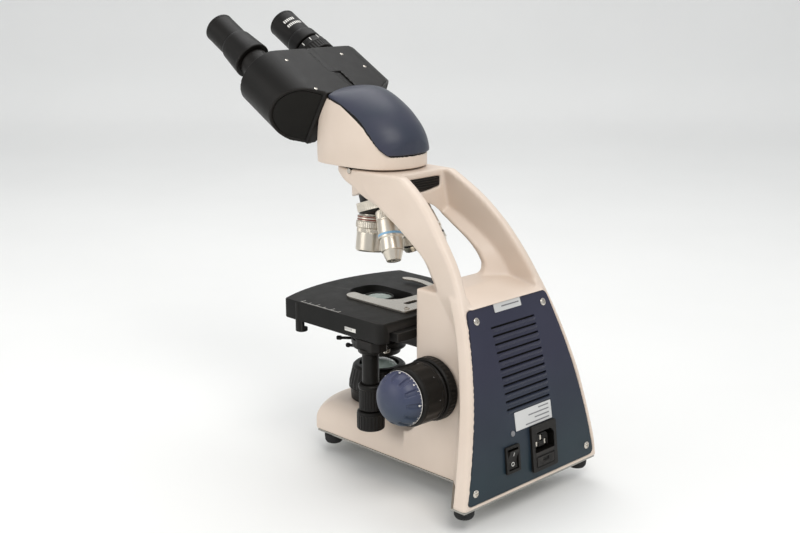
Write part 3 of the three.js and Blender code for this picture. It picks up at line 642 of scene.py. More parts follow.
def rib(side):
    """One side rib: a gusset against the column below, a free wing above it."""
    gusset = []
    for z in [lerp(CAST_BOTTOM, COLUMN_TOP, i / 24) for i in range(25)]:
        rear, front, half, nose = rib_at(z)
        flank = [(lerp(nose, half, t) - 1.2 * math.sin(math.pi * t), lerp(front, rear - 12, t ** 0.9))
                 for t in (0, 0.2, 0.4, 0.6, 0.8, 1)]
        points = [(40, front + 1)] + flank + [
            (half + 0.2, rear - 3), (half - 1, rear - 0.8), (half - 3.5, rear), (40, rear)]
        gusset.append([(side * x, y, z) for x, y in points])
    wing = []
    foot = COLUMN_TOP - 4
    for z in [lerp(foot, PLATFORM_TOP, i / 30) for i in range(31)]:
        rear, front, half, nose = rib_at(z)
        points = [
            (nose, front), (lerp(nose, half, 0.4), lerp(front, rear, 0.4)),
            (lerp(nose, half, 0.75), lerp(front, rear, 0.7)), (half, rear - 4), (half - 0.8, rear - 1.2),
            (half - 3.5, rear), (half - 7, rear + 0.3), (half - 8.6, rear - 1.5), (half - 9, rear - 5),
            (lerp(nose - WING_THICKNESS, half - 9, 0.5), lerp(front, rear, 0.5)),
            (nose - WING_THICKNESS, front + 2), (nose - 3, front - 0.3),
        ]
        wing.append([(side * x, y, z) for x, y in points])
    return [loft(gusset), loft(wing)]


def web(side):
    """Inner lip along the front edge of a wing, running in and forward round the opening."""
    rings = []
    for z in [lerp(COLUMN_TOP - 3, 222, i / 20) for i in range(21)]:
        _, front, _, nose = rib_at(z)
        reach = lookup(WEB_REACH, z)
        points = [(nose - 1, front + 1), (nose - 6, front + 5), (nose - reach - 2.5, front - reach + 7),
                  (nose - reach, front - reach), (nose - reach + 2.5, front - reach)]
        rings.append([(side * x, y, z) for x, y in points])
    return cut(loft(rings), turret_sweep())


def tongue():
    """Tongue with vertical sides and a rounded top edge."""
    rounding = 18
    levels = [(CAST_BOTTOM, 0), (TONGUE_TOP - rounding, 0)]
    for degrees in range(10, 91, 10):
        a = math.radians(degrees)
        levels.append((TONGUE_TOP - rounding * (1 - math.sin(a)), rounding * (1 - math.cos(a))))
    rings = []
    for z, inset in levels:
        half = COLUMN_HALF - inset
        front = bowed_front(half, TONGUE_FRONT + inset, TONGUE_BULGE * half / COLUMN_HALF, 20)
        rings.append([(x, y, z) for x, y in [(-half, -60), (half, -60)] + front])
    return loft(rings)


def column():
    """Column between the ribs, with a rounded toe where it meets the tongue."""
    rear = [(rib_at(z)[0], z) for z in [lerp(150, CAST_BOTTOM, i / 16) for i in range(17)]]
    toe = arc(COLUMN_FRONT - 15, TONGUE_TOP + 15, 15, -90, 0, 6)
    profile = [(COLUMN_FRONT - 15, CAST_BOTTOM)] + toe + [
        (COLUMN_FRONT, COLUMN_TOP), (-62, COLUMN_TOP), (-29.6, 157)] + rear
    return slab_x(profile, -COLUMN_HALF, COLUMN_HALF)


def panel_strip(in_front, behind, grow):
    """What lies between the panel's surface less a depth, and a depth behind it, in the panel's outline."""
    rear = [(y + behind, z) for y, z in PANEL_LINE]
    front = [(y - in_front, z) for y, z in reversed(PANEL_LINE)]
    (low, bottom), (high, top) = PANEL_LOW, PANEL_HIGH
    low, bottom, high, top = low + grow, bottom - grow, high + grow, top + grow
    outline = soften([(low, bottom), (high, top), (-high, top), (-low, bottom)], 6, 6, closed=True)
    return common(slab_x(rear + front, -90, 90), slab_y(outline, -70, 60))


def platform():
    """Front end of the arm: level on top, its underside sloping down to the rear."""
    side = [(-216, PLATFORM_TOP), (-126, PLATFORM_TOP), (-126, 208.5)] + smooth([
        (-134, 212.5), (-145, 219.3), (-162, 225.4), (-176, 232), (-185, 235.7), (-197, 240.5),
        (-216, 242.5)], 4)
    plan = arc(0, OPTICAL_Y - 2, 33, 180, 360, 32) + [(34, -150), (34, -120), (-34, -120), (-34, -150)]
    return common(slab_x(side, -38, 38), slab_z(plan, 200, 250))


def turret_sweep():
    """Everything that the turret and its objectives sweep, with clearance."""
    return lathe([
        (0, -19.2), (29.3, -19.2), (29.3, -12.4), (31.6, -12.4), (32.4, -3), (35, 2), (38.6, 10), (43.5, 42),
        (0, 42)], turret_frame())


def insert_outline(half, top, shoulder, dip):
    """Outline of the grip insert in the neck or of its pocket, with a bowed lower edge."""
    return [(half, top), (-half, top)] + smooth([(-half, shoulder), (0, dip), (half, shoulder)], 8)


def insert_pocket():
    return slab_y(insert_outline(22.3, 241.3, 232.6, 229.8), -130, -120)


def make_stand():
    """Casting with its openings, the grip insert, the bottom plate and the feet."""
    boss = cut(rod(29, 200, 243, upright(0, -169)), rod(60, -19.2, 60, turret_frame()))
    cut(boss, rod(LIGHT_BORE, 195, 262, ON_AXIS))
    arm_end = cut(platform(), turret_sweep(), insert_pocket(), rod(LIGHT_BORE, 195, 262, ON_AXIS),
                  rod(22, 243.4, 255, ON_AXIS), rod(2.4, 28, 40, along_x(0, OPTICAL_Y - 2, 245)))
    rest = union(column(), tongue(), *rib(1), *rib(-1))
    cut(rest, panel_strip(3.2, 30, 0.5), *fitting_openings(1.2, 28), insert_pocket(),
        rod(15.2, 20, 50, ON_AXIS), rod(COLLAR_BORE, COLUMN_HALF, 54.8, along_x(*KNOB)),
        rod(COLLAR_BORE, -54.8, -COLUMN_HALF, along_x(*KNOB)),
        rod(SHAFT_BORE, -60, 60, along_x(*KNOB)), block(-8, 8, -95, -78, 56, 150),
        block(-37, 37, -205, -95, 5, 31), block(-38, 38, -83, -24, 5, 148),
        rod(4.2, -50, -30, along_x(*DIAL)))
    casting = joined([rest, arm_end, boss, web(1), web(-1)])
    cast(casting, 1.15, 7)
    piece(casting, "stand_casting", "stand", IVORY, "base_casting", "arm_casting", crease=60)

    insert = slab_y(insert_outline(21.6, 240.7, 233.3, 230.4), -129.6, -126.6)
    ribs = [block(-19, 19, -127, -125.9, z, z + 0.9) for z in (233.4, 235.4, 237.4, 239.4)]
    piece(bevel(union(insert, *ribs), 0.3), "handle_insert_grip", "stand", BLACK, "handle_insert")
    piece(bevel(slab_z(plate_outline(1), 8, CAST_BOTTOM - 0.3), 0.5), "bottom_cover", "stand", PLATE,
          "bottom_plate")
    for side_name, side in (("right", 1), ("left", -1)):
        for end, x, y in (("front", 37, -198), ("rear", 71, -11)):
            make_foot(f"foot_{end}_{side_name}", side * x, y)


def make_foot(node, x, y):
    profile = [(0, 0), (6.5, 0), (7.4, 1.2), (8, 2.6), (8, 3.4), (7.7, 3.8), (8.1, 4.2), (8.3, 7.7), (0, 7.7)]
    piece(turned(profile, upright(x, y), 48, edge=0.4), f"{node}_rubber", "stand", RUBBER, node)


def plate_outline(inset):
    """Outline of the bottom plate, drawn in by an inset."""
    half = COLUMN_HALF - inset
    return bowed_front(half, TONGUE_FRONT + inset, TONGUE_BULGE, 20) + [
        (-half, -48), (-83 + inset, -15), (-83 + inset, -inset),
        (83 - inset, -inset), (83 - inset, -15), (half, -48)]


# ---------------- rear panel and electrics

def screw(place, radius=3.2, height=1.3):
    """Cross-slotted pan head with a small collar, its top along the frame's Z."""
    head = turned([(0, 0), (radius, 0), (radius * 0.96, height * 0.45), (radius * 0.6, height * 0.9),
                   (0, height)], None, 32, edge=0.5)
    arm = radius * 0.62
    slots = [block(-arm, arm, -0.35, 0.35, height * 0.45, 9), block(-0.35, 0.35, -arm, arm, height * 0.45, 9)]
    body = cut(head, *slots)
    body.data.transform(place)
    return body


def panel_y(z):
    return lookup([(height, y) for y, height in PANEL_LINE], z)


def on_panel(x, z, proud=0.0):
    """Frame at a place on the panel, with Z pointing out of it."""
    slope = (panel_y(z + 2) - panel_y(z - 2)) / 4
    out = Vector((0, 1, -slope)).normalized()
    across = Vector((1, 0, 0))
    up = out.cross(across)
    return basis(across, up, out, Vector((x, panel_y(z), z)) + out * proud)


def fitting_openings(inset, depth):
    """Holes for the switch and the inlet."""
    return [block(x0 + inset, x1 - inset, -depth, 10, z0 + inset, z1 - inset, FITTINGS)
            for x0, x1, z0, z1 in (SWITCH, INLET)]


def louvre_parts():
    """Pressed lips and the slots under them, side by side."""
    lips, slots = [], []
    half = LOUVRES["half"]
    for i in range(LOUVRES["count"]):
        z = LOUVRES["lowest"] + i * LOUVRES["pitch"]
        place = on_panel(0, z)
        lip = loft([[(x, v * scale + 1.4, w * scale - 0.5) for v, w in
                     [(-1.6, 0), (-1.3, 0.9), (-0.5, 1.5), (0.6, 1.3), (1.5, 0.6), (2, 0)]]
                    for x, scale in ((-half - 1, 0.3), (-half + 1, 0.9), (-half + 3, 1), (half - 3, 1),
                                     (half - 1, 0.9), (half + 1, 0.3))])
        lip.data.transform(place)
        lips.append(lip)
        slots.append(prism(rounded_box(-half, half, -1.5, 0.1, 0.7, 3), -6, 2, place))
    return joined(lips), joined(slots)


def make_panel():
    """Rear panel with louvres, a dark sheet behind them painted as the shade in the slots, screws, two blank
    labels and an indicator.
    """
    lips, slots = louvre_parts()
    sheet = cut(union(panel_strip(2, 0, 0), lips), slots, *fitting_openings(1.2, 14))
    piece(bevel(sheet, 0.25, 2, 50), "rear_panel_sheet", "stand", PANEL, "rear_panel")
    # Dark sheet behind the slots: painted shade that makes them read dark.
    shade_sheet = cut(panel_strip(2.9, -2.1, -9), *fitting_openings(0, 14))
    piece(shade_sheet, "louvre_shade_sheet", "stand", DARK)
    for i, (x, z) in enumerate(PANEL_SCREWS):
        piece(screw(on_panel(x, z)), f"panel_screw_{i}", "stand", STEEL)
    label(-26, 19, 57.5, 72.5, "rating_label", 4)
    label(-14, 18, 149, 156.5, "serial_plate", 1)
    lamp = turned([(0, 0), (2.4, 0), (2.2, 0.8), (0, 1.2)], on_panel(23, 57), 24)
    piece(lamp, "power_indicator", "stand", GREY_INK)


def label(x0, x1, z0, z1, name, lines):
    """Blank plate with plain bars where its printing would be."""
    place = on_panel((x0 + x1) / 2, (z0 + z1) / 2, 0.05)
    half, tall = (x1 - x0) / 2, (z1 - z0) / 2
    plate = prism(rounded_box(-half, half, -tall, tall, 0.8), 0, 0.45, place)
    piece(bevel(plate, 0.12), name, "stand", LABEL)
    bars = []
    for i in range(lines):
        middle = tall - (i + 0.7) * 2 * tall / (lines + 0.4)
        reach = half * (0.82, 0.5, 0.7, 0.35)[i % 4]
        start = -half * 0.85
        bar = rounded_box(start, start + reach * 1.6, middle - 0.5, middle + 0.5, 0.3)
        bars.append(prism(bar, 0.4, 0.55, place))
    piece(joined(bars), f"{name}_bars", "stand", GREY_INK)


def make_switch():
    """Rocker switch with a ring and a stroke for its two states."""
    x0, x1, z0, z1 = SWITCH
    middle = (z0 + z1) / 2
    rim = prism(rounded_box(x0, x1, z0, z1, 1.6), 0.4, 2.2, OUTWARD)
    body = block(x0 + 2, x1 - 2, -16, 0.6, z0 + 2, z1 - 2, FITTINGS)
    window = block(x0 + 2.6, x1 - 2.6, -10, 6, z0 + 2.6, z1 - 2.6, FITTINGS)
    piece(bevel(cut(union(rim, body), window), 0.4, 3), "switch_frame", "stand", BLACK, "switch_bezel")

    side = [(-4.5, middle - 5.4), (1.2, middle - 7.9)] + smooth(
        [(1.2, middle - 7.9), (0.9, middle - 3), (1.6, middle + 1), (4.2, middle + 7.5)], 6)[1:] + [
        (-2.5, middle + 5.8), (-6, middle)]
    rocker = slab_x(side, x0 + 3.1, x1 - 3.1)
    rocker.data.transform(FITTINGS)
    piece(bevel(rocker, 0.35, 3), "switch_rocker_cap", "power_rocker", BLACK, "switch_rocker")
    centre = (x0 + x1) / 2
    circle = ring(1.25, 1.75, 0, 0.2, OUTWARD @ upright(centre, middle - 4.2, 0.95), 32, edge=0.05)
    on_top = OUTWARD @ upright(centre, middle + 4.2, 2.75) @ turn("X", 22)
    stroke = block(-0.3, 0.3, -1.7, 1.7, 0, 0.2, on_top)
    piece(joined([circle, stroke]), "switch_marks", "power_rocker", WHITE)


def make_inlet():
    """Mains inlet: flange, socket with its pins, and the fuse drawer under it."""
    x0, x1, z0, z1 = INLET
    middle = (x0 + x1) / 2
    flange = prism(rounded_box(x0, x1, z0, z1, 2.2), 0.4, 2.6, OUTWARD)
    shell = block(x0 + 2, x1 - 2, -24, 0.6, z0 + 2, z1 - 2, FITTINGS)
    shape = [(middle - 12, -3.5), (middle + 12, -3.5), (middle + 12, 9), (middle + 8.5, 12.8),
             (middle - 8.5, 12.8), (middle - 12, 9)]
    socket = prism(soften(shape, 1.2, 4, closed=True), -16, 6, OUTWARD)
    core = prism(soften([(middle - 8.5, -0.8), (middle + 8.5, -0.8), (middle + 8.5, 7.4), (middle + 6, 9.8),
                         (middle - 6, 9.8), (middle - 8.5, 7.4)], 0.9, 3, closed=True), -17, -1.2, OUTWARD)
    bay = block(middle - 11.2, middle + 11.2, -15.2, 6, -15.7, -7.1, FITTINGS)
    body = cut(union(flange, shell), socket, bay)
    pins = [(middle, 6.2), (middle - 5.2, 1.8), (middle + 5.2, 1.8)]
    holes = [block(x - 1.6, x + 1.6, -6, 2, z - 2.6, z + 2.6, FITTINGS) for x, z in pins]
    piece(bevel(joined([body, cut(core, *holes)]), 0.4, 3), "inlet_body", "stand", BLACK, "inlet_housing")
    blades = [block(x - 1, x + 1, -12, -1.8, z - 2, z + 2, FITTINGS) for x, z in pins]
    piece(bevel(joined(blades), 0.3), "inlet_pins", "stand", STEEL)
    drawer = block(middle - 10.7, middle + 10.7, -14, 2.9, -15.2, -7.6, FITTINGS)
    grip = block(middle - 4, middle + 4, 1.9, 3.2, -14.2, -12.2, FITTINGS)
    notch = block(middle - 3.6, middle + 3.6, 2.2, 6, -11.6, -9, FITTINGS)
    piece(bevel(cut(union(drawer, grip), notch), 0.35, 3), "fuse_drawer_front", "fuse_holder", BLACK,
          "fuse_drawer")


def make_illuminator():
    """Ribbed illuminator housing with its lens, and the brightness dial."""
    profile = [(18, 38.3), (25, 38.3), (25.5, 47.6), (27, 48.8), (26.7, 54), (23.4, 68.2), (21.5, 70),
               (17.6, 70), (17.2, 61), (15, 61), (15, 42), (18, 42), (18, 38.3)]
    body = turned(refined(profile, 1.2), ON_AXIS, 256, knurl(32, 0.7, 49.5, 67, 21), edge=0.5)
    piece(body, "illuminator_body", "stand", BLACK, "illuminator_housing")
    lens = [(0, 61.4), (16.9, 61.4)] + smooth([(16.9, 67.4), (12.6, 70.6), (6.6, 72.4), (0, 73)], 5)
    piece(lathe(lens, ON_AXIS, 64), "illuminator_lens", "stand", GLASS, "field_lens")
    dial = turned([(0, -56), (7.6, -56), (8.9, -54.8), (9, -46), (8.4, -45), (3, -44.9), (3, -34), (0, -34)],
                  along_x(*DIAL), 180, knurl(30, 0.6, -54, -46, 7), edge=0.4)
    piece(dial, "brightness_knob", "brightness_control", BLACK, "brightness_dial")
    mark = block(0, 6.5, -0.4, 0.4, -56.25, -55.7, along_x(*DIAL))
    piece(bevel(mark, 0.1), "brightness_mark", "brightness_control", WHITE)


def refined(profile, step):
    """Profile with points no further apart than a step."""
    result = [profile[0]]
    for a, b in zip(profile, profile[1:]):
        count = max(1, math.ceil((Vector(b) - Vector(a)).length / step))
        result += [tuple(Vector(a).lerp(Vector(b), k / count)) for k in range(1, count + 1)]
    return result


# ---------------- focus drive

def mirrored(profile, side):
    return [(r, side * h) for r, h in profile]


def make_collars():
    """Ribbed collars on both sides of the column."""
    profile = [(4.5, 45), (25, 45), (26, 46.2), (26, 52.2), (24.8, 54.2), (4.5, 54.2), (4.5, 45)]
    for side, name, node, body in ((1, "tension_collar", "tension_ring", "tension_control"),
                                   (-1, "left_collar", "left_focus_collar", "stand")):
        low, high = sorted((side * 47, side * 53))
        shape = turned(refined(mirrored(profile, side), 1.2), along_x(*KNOB), 288,
                       knurl(48, 0.35, low, high, 24), edge=0.5)
        piece(shape, name, body, BLACK, node)


def make_coarse_knobs():
    profile = [(4.5, 54.7), (23.4, 54.7), (24.1, 56.2), (23.2, 57.2), (23.2, 58.2), (24.4, 59.2), (24.2, 77),
               (23.6, 79.2), (22.6, 80.2), (2.9, 80.2), (2.9, 57), (4.5, 56), (4.5, 54.7)]
    for side, name in ((1, "right"), (-1, "left")):
        low, high = sorted((side * 61, side * 76))
        shape = turned(refined(mirrored(profile, side), 1.0), along_x(*KNOB), 288,
                       knurl(16, 0.55, low, high, 23), edge=0.5)
        piece(shape, f"coarse_grip_{name}", "coarse_drive", BLACK, f"coarse_knob_{name}")
        around = upright(0, 0, side * 64) @ turn("Y", 90)
        dots = [rod(0.5, 24.05, 24.4, along_x(*KNOB) @ turn("Z", 45 * i) @ around, 16) for i in range(8)]
        piece(joined(dots), f"coarse_dots_{name}", "coarse_drive", GREY_INK)


def finger_flutes(count, depth, side):
    """Oblong hollows that radiate over the dome of the fine knob."""
    def wave(r, h, a):
        across = math.cos(count * a)
        along = (abs(h) - 88.4) / 5.2
        if r < 9 or abs(along) >= 1 or across < 0.2:
            return r, h
        dip = depth * min(1.0, (across - 0.2) / 0.5) * min(1.0, (1 - along * along) * 2.0)
        return r - dip * 0.8, h - side * dip * 0.6
    return wave


def make_fine_knobs():
    dome = smooth([(22, 82.6), (21.2, 86.5), (18.6, 91.4), (14.2, 95.2), (8, 97.6), (0, 98.4)], 9)
    profile = [(2.8, 80.6), (21.4, 80.6), (22, 81.1)] + dome + [(0, 84.4), (2.8, 84.4), (2.8, 80.6)]
    for side, name in ((1, "right"), (-1, "left")):
        shape = lathe([(r, side * h) for r, h in profile], along_x(*KNOB), 288, finger_flutes(12, 1.5, side))
        piece(shape, f"fine_dome_{name}", "fine_drive", KNOB_BLUE, f"fine_knob_{name}")
        marks = [ring(21.7, 22.12, *sorted((side * 81.3, side * 81.9)), along_x(*KNOB), 128, edge=0.1)]
        for i in range(48):
            place = along_x(*KNOB) @ turn("Z", i * 360 / 48)
            ends = sorted((side * 81.8, side * (81.8 + (1.8 if i % 4 == 0 else 1.0))))
            marks.append(block(21.4, 22.08, -0.14, 0.14, *ends, place))
            if i % 6 == 0:
                marks.append(rod(0.75, 21.2, 21.98, place @ upright(0, 0, side * 84.3) @ turn("Y", 90), 16))
        piece(joined(marks), f"fine_scale_{name}", "fine_drive", WHITE)


# ---------------- stage

def stage_plan(inset):
    """Outline of the stage with its bowed front, drawn in by an inset."""
    half = STAGE_HALF - inset
    rear = STAGE_REAR - inset
    front = bowed_front(half, STAGE_FRONT + inset, STAGE_BULGE, 32)
    return front + [(-half, rear - 4), (-half + 4, rear), (half - 4, rear), (half, rear - 4)]


def make_stage():
    """Carrier, bed, stage top, the bracket at its edge and the two knobs under it."""
    piece(bevel(union(block(-22, 22, -98, -90, 66, 125), block(-6, 6, -90.2, -80.3, 66, 116)), 0.8, 3),
          "stage_carrier_casting", "focus_block", ALLOY, "stage_carrier")
    bed = cut(block(-56, 56, -196, -98.3, 117.5, 125.4), block(-31, 31, -230, -140, 110, 130))
    piece(bevel(bed, 0.8, 3), "stage_bed_plate", "focus_block", ALLOY, "stage_bed")

    blank = bevel(slab_z(soften(stage_plan(0), 3, 5, closed=True), 117, STAGE_TOP), 1.0, 3)
    lug = bevel(slab_z(arc(65.4, -206, 5.2, 0, 354, 59), 107, STAGE_TOP - 0.8), 0.8, 3)
    body = cut(union(blank, lug), slab_z(stage_plan(3.5), 110, 125.8), block(-60, 60, -120, -100, 110, 125.8))
    opening = bevel(slab_z(rounded_box(-18, 18, -204, -146, 17.5, 24), 110, 140), 0.6)
    body = cut(body, opening)
    corner = block(57, 66.4, -150, -112, 117.6, 132.4)
    shape = union(body, bevel(corner, 1))
    piece(bevel(shape, 0.35, 2, 50), "stage_top", "stage_table", ALLOY, "stage_plate")
    make_stage_marks()

    plan = soften([(52, -133), (57, -138), (65, -138), (70, -133), (70, -115), (65, -110), (57, -110),
                   (52, -115)], 1, 3, closed=True)
    control = upright(*XY_CONTROL)
    bracket = union(bevel(slab_z(plan, 108, 116.7), 0.8, 3),
                    turned([(0, 104.5), (7.6, 104.5), (9.4, 106.4), (9.4, 109), (0, 109)], control, 64),
                    turned([(0, 79.4), (7, 79.4), (7, 106), (0, 106)], control, 48, edge=0.4))
    piece(bracket, "stage_bracket", "stage_table", BLACK, "stage_control_bracket")
    upper = [(0, 56.4), (9, 56.4), (9.7, 57.4), (9.7, 75), (10.3, 75.6), (10.3, 78), (9.4, 79), (0, 79)]
    shape = turned(refined(upper, 1.2), control, 240, knurl(24, 0.35, 58.2, 74.4, 9.3), edge=0.4)
    piece(cut(shape, rod(2.6, 50, 60, control)), "stage_y_grip", "stage_y_control", BLACK, "stage_y_knob")
    lower = [(0, 40), (10.8, 40), (11.6, 41), (11.7, 53.4), (11.2, 55.4), (9.8, 56), (0, 56)]
    shape = turned(refined(lower, 1.2), control, 240, knurl(24, 0.4, 41.6, 53.2, 11), edge=0.4)
    stem = rod(2.2, 55.5, 59, control, 32)
    piece(union(shape, stem), "stage_x_grip", "stage_x_control", BLACK, "stage_x_knob")
    make_slide_holder()


def make_stage_marks():
    """Scale near the right edge, index plate on the skirt and the screw of the slide way."""
    top = STAGE_TOP - 0.05
    line = [block(67.3, 67.8, -204, -156, top, STAGE_TOP + 0.05)]
    for i in range(6):
        y = -203 + i * 9.2
        line.append(block(62.6 if i % 2 == 0 else 64.4, 67.5, y - 0.22, y + 0.22, top, STAGE_TOP + 0.05))
    piece(joined(line), "stage_scale", "stage_table", WHITE)
    plate = block(69.7, 70.25, -146, -133, 121.4, 124.6)
    piece(bevel(plate, 0.15), "stage_index", "stage_table", WHITE)
    ticks = [block(70.2, 70.3, -145 + i * 1.4, -144.6 + i * 1.4, 122.4, 124.4) for i in range(6)]
    piece(joined(ticks), "stage_index_ticks", "stage_table", GREY_INK)
    way_screw = turned([(0, 0), (2.6, 0), (2.8, 0.4), (2.8, 3.6), (2.3, 4.2), (0, 4.2)],
                       upright(44, -122, 104) @ turn("Y", 90), 32)
    piece(way_screw, "stage_gib_screw", "stage_table", STEEL)


def make_slide_holder():
    """Slide holder plate, its spring finger on a pivot, and its two screws."""
    base, top = STAGE_TOP + 0.3, STAGE_TOP + 2.3
    outline = [(33.5, -113), (33.5, -181), (31, -187), (25, -189.5), (19.5, -188), (20.4, -176), (19.6, -158),
               (16, -149), (8, -143.4), (-24, -143), (-31, -146), (-34, -142), (-34, -122), (-27, -113)]
    plate = slab_z(soften(outline, 3, 5, closed=True), base, top)
    shape = cut(plate, rod(2.3, 130, 140, upright(*FINGER_PIVOT)),
                slab_z(rounded_box(0, 16, -133, -127, 2.9), 130, 140))
    piece(bevel(shape, 0.3, 2), "slide_holder_plate", "slide_carriage", STEEL, "slide_holder")
    finger = [(-24, -127), (-24.5, -134), (-29, -142), (-35, -152), (-39, -166), (-39.6, -178), (-37, -185),
              (-40, -189.5), (-45, -185), (-46, -176), (-45.5, -164), (-40.5, -147), (-33, -134),
              (-31.5, -127)]
    arm = bevel(slab_z(soften(finger, 3, 5, closed=True), STAGE_TOP + 2.7, STAGE_TOP + 4.5), 0.4, 3)
    pivot = turned([(0, STAGE_TOP + 0.6), (2, STAGE_TOP + 0.6), (2, STAGE_TOP + 4), (3.6, STAGE_TOP + 4.4),
                    (3.6, STAGE_TOP + 5.4), (2.8, STAGE_TOP + 6), (0, STAGE_TOP + 6)],
                   upright(*FINGER_PIVOT), 32, edge=0.3)
    piece(union(arm, pivot), "slide_finger_arm", "slide_finger", STEEL, "holder_finger")
    for i, x in enumerate((25, 8)):
        piece(screw(upright(x, -119, top), 2.6, 1.1), f"holder_screw_{i}", "slide_carriage", STEEL)


# ---------------- condenser

def make_condenser():
    """Carrier ring and its knob, the barrel with its top lens, the iris ring and the filter ring."""
    mount = cut(union(ring(24.2, 29, 99, 108, ON_AXIS, 96), block(-11, 11, -151, -98.4, 99, 108)),
                rod(24.2, 90, 115, ON_AXIS, 96), rod(2.4, -40, 0, along_x(*CONDENSER_KNOB)))
    piece(bevel(mount, 0.6, 2, 50), "condenser_carrier_ring", "condenser_carrier", ALLOY, "condenser_mount")
    knob = turned([(0, -24), (8, -24), (9, -23), (9, -14.4), (8.4, -13.5), (2, -13.5), (2, -3), (0, -3)],
                  along_x(*CONDENSER_KNOB), 180, knurl(30, 0.5, -22.6, -14.6, 7), edge=0.4)
    piece(knob, "condenser_height_knob", "condenser_control", BLACK, "condenser_knob")
    barrel = [(13, 86), (23.8, 86), (23.8, 88.8), (21.5, 89), (21.5, 94), (23.8, 94.2), (23.8, 116.6),
              (15, 121), (13.2, 131), (11.3, 131), (11.3, 124), (13, 120), (13, 86)]
    shape = turned(barrel, ON_AXIS, 96, edge=0.7)
    pivot = rod(1.5, 80, 86.6, upright(*FILTER_PIVOT), 24)
    piece(union(shape, pivot), "condenser_body", "condenser_carrier", ALLOY, "condenser_barrel")
    lens = [(0, 124.3), (11, 124.3)] + smooth([(11, 130.2), (8, 131.1), (4, 131.5), (0, 131.6)], 4)
    piece(lathe(lens, ON_AXIS, 64), "condenser_top_lens", "condenser_carrier", GLASS, "condenser_lens")
    lever = union(ring(21.8, 24.6, 89.3, 93.7, ON_AXIS, 96, edge=0.3),
                  turned([(0, 23), (1.3, 23), (1.3, 33), (2, 34), (2, 37), (1.4, 38), (0, 38)],
                         lever_frame(-50, 91.5), 32, edge=0.4))
    piece(lever, "iris_ring", "iris_control", BLACK, "iris_lever")
    eye = cut(rod(4.4, 80.6, 85.4, upright(*FILTER_PIVOT), 32), rod(16, 79, 87, ON_AXIS))
    holder = union(ring(15, 19, 80.6, 85.4, ON_AXIS, 96), eye,
                   turned([(0, 17), (1.4, 17), (1.4, 27), (2.1, 28), (2.1, 30), (1.5, 31), (0, 31)],
                          lever_frame(-62, 83), 32, edge=0.4))
    holder = cut(holder, rod(1.8, 79, 87, upright(*FILTER_PIVOT), 24))
    piece(holder, "filter_ring", "filter_arm", BLACK, "filter_holder")


# ---------------- nosepiece

OBJECTIVES = {
    "objective_4x": {
        "at": 0, "tip": 8,
        "profile": [(12.3, 0.4), (12.3, 5), (13.2, 5.3), (13.2, 10.6), (12.1, 11), (12.1, 14.4), (11.8, 14.8),
                    (12, 15.2), (12, 29.6), (11, 31)],
        "knurls": [(44, 0.3, 5.5, 10.4), (60, 0.25, 11.2, 14.2)],
        "bands": [(RED_RING, 12.42, 0.9, 2.1), (RED_RING, 12.42, 3.2, 4.5)],
    },
    "objective_40x": {
        "at": 90, "tip": 2.5,
        "profile": [(10.5, 0.4), (10.5, 8), (10.1, 8.3), (10.1, 9.1), (10.5, 9.4), (10.5, 24), (9.6, 25),
                    (9.6, 35), (8.6, 36), (6, 43.6)],
        "knurls": [(40, 0.35, 1.2, 7.6)],
        "bands": [(BLUE_RING, 10.62, 20.6, 22.6)],
    },
    "objective_100x": {
        "at": 180, "tip": 2,
        "profile": [(10.5, 0.4), (10.5, 8), (10.1, 8.3), (10.1, 9.1), (10.5, 9.4), (10.5, 25), (9.8, 26),
                    (9.8, 35), (8.8, 36), (5.6, 44)],
        "knurls": [(40, 0.35, 1.2, 7.6)],
        "bands": [(WHITE, 10.62, 21, 23), (BLACK, 9.92, 29, 31)],
    },
    "objective_10x": {
        "at": 270, "tip": 4,
        "profile": [(10.5, 0.4), (10.5, 6), (10.1, 6.3), (10.1, 7.1), (10.5, 7.4), (10.5, 22), (9.4, 23),
                    (9.4, 31), (8.6, 34), (6.6, 38.6)],
        "knurls": [(40, 0.35, 1.2, 5.8), (44, 0.35, 24, 30)],
        "bands": [(YELLOW_RING, 10.62, 18.4, 20.4), (BLACK, 9.52, 31.4, 33)],
    },
}


def many(waves):
    """Several waves, one after the other."""
    def wave(r, h, a):
        for one in waves:
            r, h = one(r, h, a)
        return r, h
    return wave


def make_objective(name, at, tip, profile, knurls, bands):
    """Barrel with its grips, colour bands and front lens, in the seat at an angle of the turret."""
    end = profile[-1][1]
    whole = [(0, -2.5), (9.3, -2.5), (9.3, 0.4)] + profile + [(tip, end), (tip, end - 1.2), (0, end - 1.2)]
    waves = many([knurl(count, depth, low, high, 8) for count, depth, low, high in knurls])
    shape = turned(refined(whole, 0.8), seat_frame(at), 240, waves, edge=0.25)
    piece(shape, f"{name}_barrel", "turret", CHROME, name)
    for i, (material, radius, low, high) in enumerate(bands):
        band = ring(radius - 0.6, radius, low, high, seat_frame(at), 96, edge=0.15)
        piece(band, f"{name}_band_{i}", "turret", material)
    lens = [(0, end - 1.4), (tip - 0.3, end - 1.4)] + smooth(
        [(tip - 0.3, end - 1.1), (tip * 0.6, end - 0.7), (0, end - 0.5)], 4)
    piece(lathe(lens, seat_frame(at), 48), f"{name}_front_lens", "turret", DARK_GLASS)


